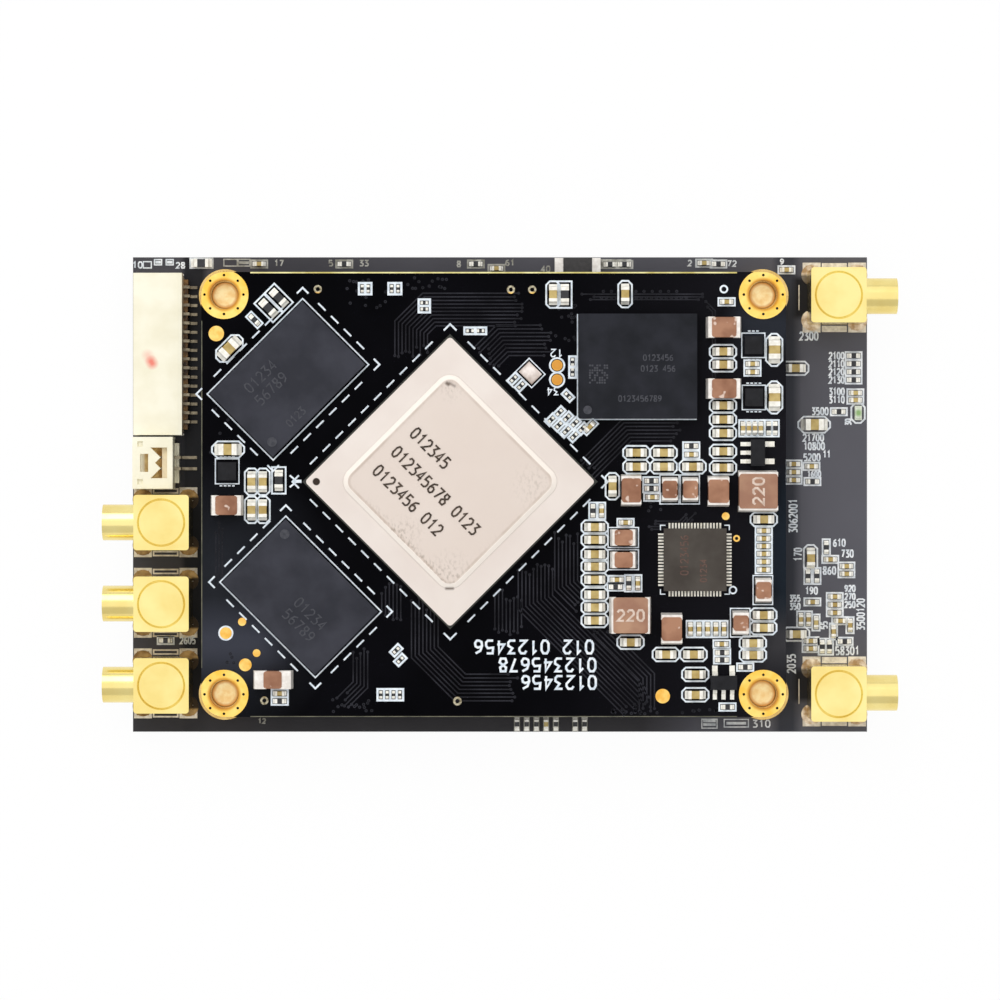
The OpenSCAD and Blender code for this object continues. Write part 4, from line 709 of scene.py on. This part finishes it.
# Faint plain digits are burnt into the chips: place along and across each, height, turn, text
faint_numbers = new_print("core_board", LINE_RISE)
FAINT_NARROW = 0.85
for node, along, up, height, turn, text in (
        ("upper_memory_chip", -1.9, 2.3, 1.1, 45, "01234"),
        ("upper_memory_chip", -2.0, 0.5, 1.1, 45, "56789"),
        ("upper_memory_chip", -2.3, -3.6, 0.8, 45, "0123"),
        ("lower_memory_chip", 2.1, -0.5, 1.1, -45, "01234"),
        ("lower_memory_chip", 2.1, -2.3, 1.1, -45, "56789"),
        ("flash_storage_chip", 2.2, 0.9, 0.6, 0, "0123456"),
        ("flash_storage_chip", 2.2, -0.3, 0.6, 0, "0123 456"),
        ("flash_storage_chip", 0.2, -3.6, 0.6, 0, "0123456789")):
    faint_numbers["level"] = top_of(node)
    print_digits(faint_numbers, text, turned(plan_middle(node), turn, along, up), height, turn,
                 0.1 + 0.04 * height, FAINT_NARROW)
(flash_left, flash_low, _), (flash_right, flash_high, flash_top) = (
    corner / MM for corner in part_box("flash_storage_chip"))
# A square of meaningless specks stands where the flash chip has its burnt code
SPECK_PITCH, SPECK_W, SPECKS, SPECK_SHARE = 0.27, 0.2, 8, 0.62
specks = random.Random(12)
for row in range(SPECKS):
    for column in range(SPECKS):
        if specks.random() < SPECK_SHARE:
            x = flash_left + 1.1 + SPECK_PITCH * column
            y = flash_low + 3.9 + SPECK_PITCH * row
            print_line(faint_numbers, [(x, y), (x + SPECK_W, y)], SPECK_W, thick=DOT_T)
finish_print(faint_numbers, "chip_numbers", dot_grey)
first_dots["level"] = flash_top
print_ring(first_dots, (flash_left + 0.95, flash_low + 0.9), 0.5, 0.45, thick=DOT_T)
finish_print(first_dots, "chip_first_dots", dot_grey)
print_line(core_print, [(flash_left - 0.15, flash_high), (flash_left - 0.15, flash_low - 0.12),
                        (flash_right, flash_low - 0.12)], THIN_LINE)

# Power controller: a flat black chip with a row of solder fingers on each side, printed
# corner marks and a ring by its first contact.
wear("power_controller_chip", mottled("controller_black", (0.05, 0.041, 0.034),
                                      (0.074, 0.064, 0.054), 0.003, rough=(0.5, 0.65),
                                      shine=0.2, depth=0.00001))
finger_tin = mottled("finger_tin", (0.66, 0.62, 0.52), (0.9, 0.87, 0.78), 0.0004,
                     metal=0.4, rough=(0.3, 0.5), depth=0.00002)
wear("power_controller_pads", finger_tin)
low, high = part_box("power_controller_chip")
OUT, ARM, CORNER_W = 0.35, 0.2, 0.12
for x, sx in ((low.x / MM, -1), (high.x / MM, 1)):
    for y, sy in ((low.y / MM, -1), (high.y / MM, 1)):
        print_line(core_print, [(x + sx * OUT, y - sy * ARM), (x + sx * OUT, y + sy * OUT),
                                (x - sx * ARM, y + sy * OUT)], CORNER_W)
print_ring(core_print, (high.x / MM + 0.75, low.y / MM + 0.1), 0.75, 0.18)
# Two columns of faint digits are burnt into the chip
controller_numbers = new_print("power_controller_chip", LINE_RISE)
middle = plan_middle("power_controller_chip")
for along, up, height, text in ((-1.2, 0.5, 0.8, "0123456"), (0.9, -1.2, 0.65, "01234")):
    print_digits(controller_numbers, text, (middle[0] + along, middle[1] + up), height, 90,
                 THIN_LINE, FAINT_NARROW)
finish_print(controller_numbers, "controller_numbers",
             mottled("controller_mark", (0.1, 0.058, 0.046), (0.15, 0.092, 0.074), 0.0004,
                     rough=(0.5, 0.7), shine=0.15))

# Power inductors and bulk capacitors: brown moulded blocks between tinned ends, soldered at
# both ends. Some of the smaller blocks have a printed frame.
block_tin = mottled("block_tin", (0.76, 0.71, 0.65), (0.93, 0.89, 0.84), 0.0006,
                    metal=0.35, rough=(0.35, 0.5), depth=0.00002)
wear("power_inductors", mottled("inductor_brown", (0.33, 0.165, 0.105), (0.46, 0.265, 0.165),
                                0.003, rough=(0.45, 0.6), shine=0.3, depth=0.00003))
bulk_brown, tree, shader = new_finish("bulk_brown", rough=0.47, shine=0.3)
brown = two_tones(tree, 0.0025, (0.24, 0.1, 0.052), (0.41, 0.205, 0.12))
# Painted glints: small pale specks on the ceramic
painted_glints = span_of(tree, grain(tree, 0.0008, detail=1.0), 0.66, 0.72, 0.0, 0.75)
coat(tree, shader, blend_of(tree, painted_glints, brown, (0.82, 0.66, 0.56)), 0.0005, (0.4, 0.55),
     (0.0005, 0.00001))
wear("bulk_capacitors", bulk_brown)
wear("power_inductor_ends", block_tin)
wear("bulk_capacitor_ends", block_tin)


def solids_of(node):
    """Corners of each separate solid of a node, in millimetres."""
    mesh = nodes[node].data
    owner = list(range(len(mesh.vertices)))

    def root(i):
        while owner[i] != i:
            owner[i] = owner[owner[i]]
            i = owner[i]
        return i

    same_place = {}
    for v in mesh.vertices:
        key = tuple(round(c, 7) for c in v.co)
        owner[root(v.index)] = root(same_place.setdefault(key, v.index))
    for e in mesh.edges:
        owner[root(e.vertices[0])] = root(e.vertices[1])
    groups = {}
    for v in mesh.vertices:
        groups.setdefault(root(v.index), []).append([c / MM for c in v.co])
    return [np.array(group) for group in groups.values()]


def parts_with_ends(bodies, ends):
    """Centre, size, turn and foot of each part, from its body and the two ends nearest to it."""
    end_solids = solids_of(ends)
    middles = np.array([(s.min(0) + s.max(0))[:2] / 2 for s in end_solids])
    parts = []
    for body in solids_of(bodies):
        centre = (body.min(0) + body.max(0))[:2] / 2
        near = np.argsort(((middles - centre) ** 2).sum(1))[:2]
        ahead = middles[near[1]] - middles[near[0]]
        ahead = ahead / np.linalg.norm(ahead)
        across = np.array([-ahead[1], ahead[0]])
        both = np.vstack([end_solids[k][:, :2] for k in near]) - centre
        length, depth = np.ptp(both @ ahead), np.ptp(both @ across)
        parts.append((centre, length, depth, math.degrees(math.atan2(ahead[1], ahead[0])),
                      body[:, 2].min()))
    return parts


FRAMED_L = 3.0
for centre, length, depth, turn, _ in parts_with_ends("bulk_capacitors", "bulk_capacitor_ends"):
    if length < FRAMED_L:
        print_frame(core_print, centre, length + 0.45, depth + 0.4, THIN_LINE, turn)
block_print = new_print("power_inductors", LINE_RISE)
for centre, _, _, turn, _ in parts_with_ends("power_inductors", "power_inductor_ends"):
    print_digits(block_print, "220", centre, 1.15, turn % 180, width=0.24)
block_ink = mottled("block_ink", (0.56, 0.42, 0.34), (0.78, 0.64, 0.54), 0.0006,
                    rough=(0.5, 0.7), shine=0.2)
finish_print(block_print, "inductor_digits", block_ink)

# Chip capacitors and resistors: tan ceramic blocks and flat black ones with tinned ends, set
# on solder fillets. Each lies in its own printed frame.
wear("chip_capacitor_bodies", mottled("capacitor_tan", (0.4, 0.27, 0.07), (0.56, 0.42, 0.15),
                                      0.001, rough=(0.35, 0.5)))
wear("chip_resistor_bodies", mottled("resistor_black", (0.01, 0.01, 0.012),
                                     (0.02, 0.02, 0.024), 0.0008, rough=(0.25, 0.4)))
chip_tin = mottled("chip_tin", (0.8, 0.77, 0.68), (0.97, 0.95, 0.88), 0.0005,
                   metal=0.25, rough=(0.35, 0.55), depth=0.00002)
chip_frames = new_print("core_board", FRAME_RISE)
carrier_frames = new_print("carrier_board", FRAME_RISE)
WIDE_W, LARGE_W, SMALL_W = 1.1, 0.8, 0.4
for bodies, ends in (("chip_capacitor_bodies", "chip_capacitor_ends"),
                     ("chip_resistor_bodies", "chip_resistor_ends")):
    wear(ends, chip_tin)
    for centre, length, depth, turn, foot in parts_with_ends(bodies, ends):
        room, cut, line = 0.32, 0.0, 0.19
        if depth > WIDE_W:
            room, cut = 0.55, 0.6
        elif depth > LARGE_W:
            room, cut = 0.6, 0.4
        elif depth < SMALL_W:
            room, line = 0.4, 0.24
        if bodies == "chip_resistor_bodies":
            cut = 0.0
        frames = chip_frames
        if foot < core_top - 1:
            # The ink stops short of the carrier's edge
            frames = carrier_frames
            tall = length if round(turn / 90) % 2 else depth
            room = min(room, 2 * (carrier_high.y / MM - abs(centre[1])) - tall - line - 0.04)
        frames["level"] = foot
        print_frame(frames, centre, length + room, depth + room, line, turn, cut)
finish_print(chip_frames, "chip_frames", line_ink)
finish_print(carrier_frames, "carrier_chip_frames", carrier_ink)

# Regulators, filter inductor, crystal and status light: small moulded parts soldered by flat
# lands or bent leads, a ferrite block with a drum, a metal can and a clear resin lens.
wear("filter_inductor", mottled("ferrite", (0.018, 0.016, 0.016), (0.032, 0.028, 0.028), 0.0005))
wear("filter_inductor_ends", block_tin)
wear("regulator_chips", mottled("regulator_black", (0.006, 0.006, 0.008), (0.012, 0.012, 0.015),
                                0.001, rough=(0.4, 0.55), shine=0.2))
wear("regulator_leads", chip_tin)
wear("clock_crystal", mottled("crystal_can", (0.4, 0.32, 0.27), (0.88, 0.8, 0.75), 0.0016,
                              metal=0.8, rough=(0.25, 0.4)))
light_middle = plan_middle("status_light")
clear_resin, tree, shader = new_finish("clear_resin", rough=0.12)
pale = two_tones(tree, 0.0005, (0.62, 0.66, 0.54), (0.78, 0.82, 0.7))
pale = stain(tree, pale, (0.2, 0.38, 0.1), light_middle, (0.05, 0.1), 0.1, 0.42, 0.9)
coat(tree, shader, pale, 0.0003, (0.1, 0.2))
wear("status_light", clear_resin)
light_frame = new_print("carrier_board")
print_frame(light_frame, light_middle, 1.5, 2.2, 0.2, cut=0.45)
finish_print(light_frame, "status_light_frame", carrier_ink)
LEADLESS_L, DASHES_OUT = 2.2, 0.6
for solid in solids_of("regulator_chips"):
    low, high = solid.min(0), solid.max(0)
    centre = (low + high)[:2] / 2
    length, depth = (high - low)[:2]
    if max(length, depth) < LEADLESS_L:
        print_frame(core_print, centre, length + 0.6, depth + 0.75, THIN_LINE)
        for beyond in (-depth / 2 - DASHES_OUT, depth / 2 + DASHES_OUT):
            print_dashes(core_print, centre + [-length / 2, beyond], centre + [length / 2, beyond],
                         dash=0.3, gap=0.15, width=0.14)
print_frame(core_print, plan_middle("clock_crystal"), 2.5, 2.1, THIN_LINE, -45)

# Numbers on the core board: a plain scale of digits printed in three rows, read from the other
# side, and short numbers by the two test pads.
core_numbers = new_print("core_board", LINE_RISE)
for text, x, y, height, narrow in (
        ("012 0123456", 3.75, -16.83, 1.4, 0.92), ("012345678", 5.24, -18.81, 1.4, 0.92),
        ("0123456", 6.51, -20.74, 1.4, 0.92), ("12", 6.25, 15.6, 0.8, 1.0),
        ("34", 5.85, 11.4, 0.8, 1.0)):
    print_digits(core_numbers, text, (x, y), height, 180, 0.18 * height, narrow)
print_ring(core_numbers, (core_x - 29.55, -15.3), 1.45, 0.22)
finish_print(core_numbers, "core_numbers", core_ink)
for x, y in ((7.0, 14.25), (7.0, 12.65)):
    print_ring(core_print, (core_x + x, y), 1.6, 0.2)
print_ring(core_print, (core_x + 25.4, 22.65), 0.75, 0.2)
finish_print(core_print, "core_print", line_ink)

# Studio: a plain white paper floor that turns up all round, an even pale sky, a wide soft lamp
# overhead and a smaller one high on the upper left. The camera looks straight down from 450 mm
# over the carrier board.
FLOOR_R, FLOOR_TURN_R, FLOOR_RIM_H, FLOOR_SIDES = 1.2, 0.25, 0.55, 96
PAPER_WHITE, PAPER_GLOW, SKY = 0.95, 0.95, 0.74
floor_profile = [turned((FLOOR_R, FLOOR_TURN_R), a, 0.0, -FLOOR_TURN_R) for a in range(0, 91, 10)]
floor_profile.append((FLOOR_R + FLOOR_TURN_R, FLOOR_RIM_H))
floor_corners, floor_faces = [(0.0, 0.0, 0.0)], []
for radius, height in floor_profile:
    floor_corners += [(*turned((0.0, 0.0), 360 * i / FLOOR_SIDES, radius, 0.0), height)
                      for i in range(FLOOR_SIDES)]
for i in range(FLOOR_SIDES):
    j = (i + 1) % FLOOR_SIDES
    floor_faces.append((0, 1 + i, 1 + j))
    for ring in range(len(floor_profile) - 1):
        low_ring, high_ring = 1 + ring * FLOOR_SIDES, 1 + (ring + 1) * FLOOR_SIDES
        floor_faces.append((low_ring + i, high_ring + i, high_ring + j, low_ring + j))
floor_paper, tree, shader = new_finish("floor_paper", rough=0.9, shine=0.1)
shader.inputs["Base Color"].default_value = (PAPER_WHITE, PAPER_WHITE, PAPER_WHITE, 1.0)
rays = step_of(tree, "LightPath")
seen = rays.outputs["Is Camera Ray"]
for kind in ("Is Glossy Ray", "Is Transmission Ray"):
    seen = worked_out(tree, "MAXIMUM", seen, rays.outputs[kind])
glowing = span_of(tree, seen, 0.0, 1.0, 0.0, PAPER_GLOW)
white = step_of(tree, "Emission")
paper = step_of(tree, "MixShader", feeds=((0, glowing), (1, shader.outputs["BSDF"]),
                                          (2, white.outputs["Emission"])))
tree.links.new(paper.outputs["Shader"], tree.nodes["Material Output"].inputs["Surface"])
floor = stand_mesh("floor", floor_corners, floor_faces, floor_paper)
for face in floor.data.polygons:
    face.use_smooth = True

world = bpy.data.worlds.new("studio")
bpy.context.scene.world = world
world.use_nodes = True
sky = world.node_tree.nodes["Background"]
sky.inputs["Color"].default_value = (1.0, 1.0, 1.0, 1.0)
sky.inputs["Strength"].default_value = SKY

for lamp_name, size, energy, place in (("overhead_softbox", 1.4, 2.5, (0.0, 0.28, 0.72)),
                                       ("side_softbox", 0.5, 1.4, (-0.25, 0.45, 0.6))):
    lamp = bpy.data.lights.new(lamp_name, "AREA")
    lamp.size = size
    lamp.energy = energy
    lamp_holder = stand(lamp_name, lamp)
    lamp_holder.location = place
    lamp_holder.rotation_euler = (-Vector(place)).to_track_quat("-Z", "Y").to_euler()

VIEW_Y, VIEW_H, VIEW_W = -0.6145 * MM, 450 * MM, 111.72 * MM
lens = bpy.data.cameras.new("camera")
lens.sensor_width = 36.0
lens.lens = lens.sensor_width * VIEW_H / VIEW_W
camera = stand("camera", lens)
camera.location = (0.0, VIEW_Y, carrier_high.z + VIEW_H)
bpy.context.scene.camera = camera
bpy.context.scene.view_settings.view_transform = "Standard"
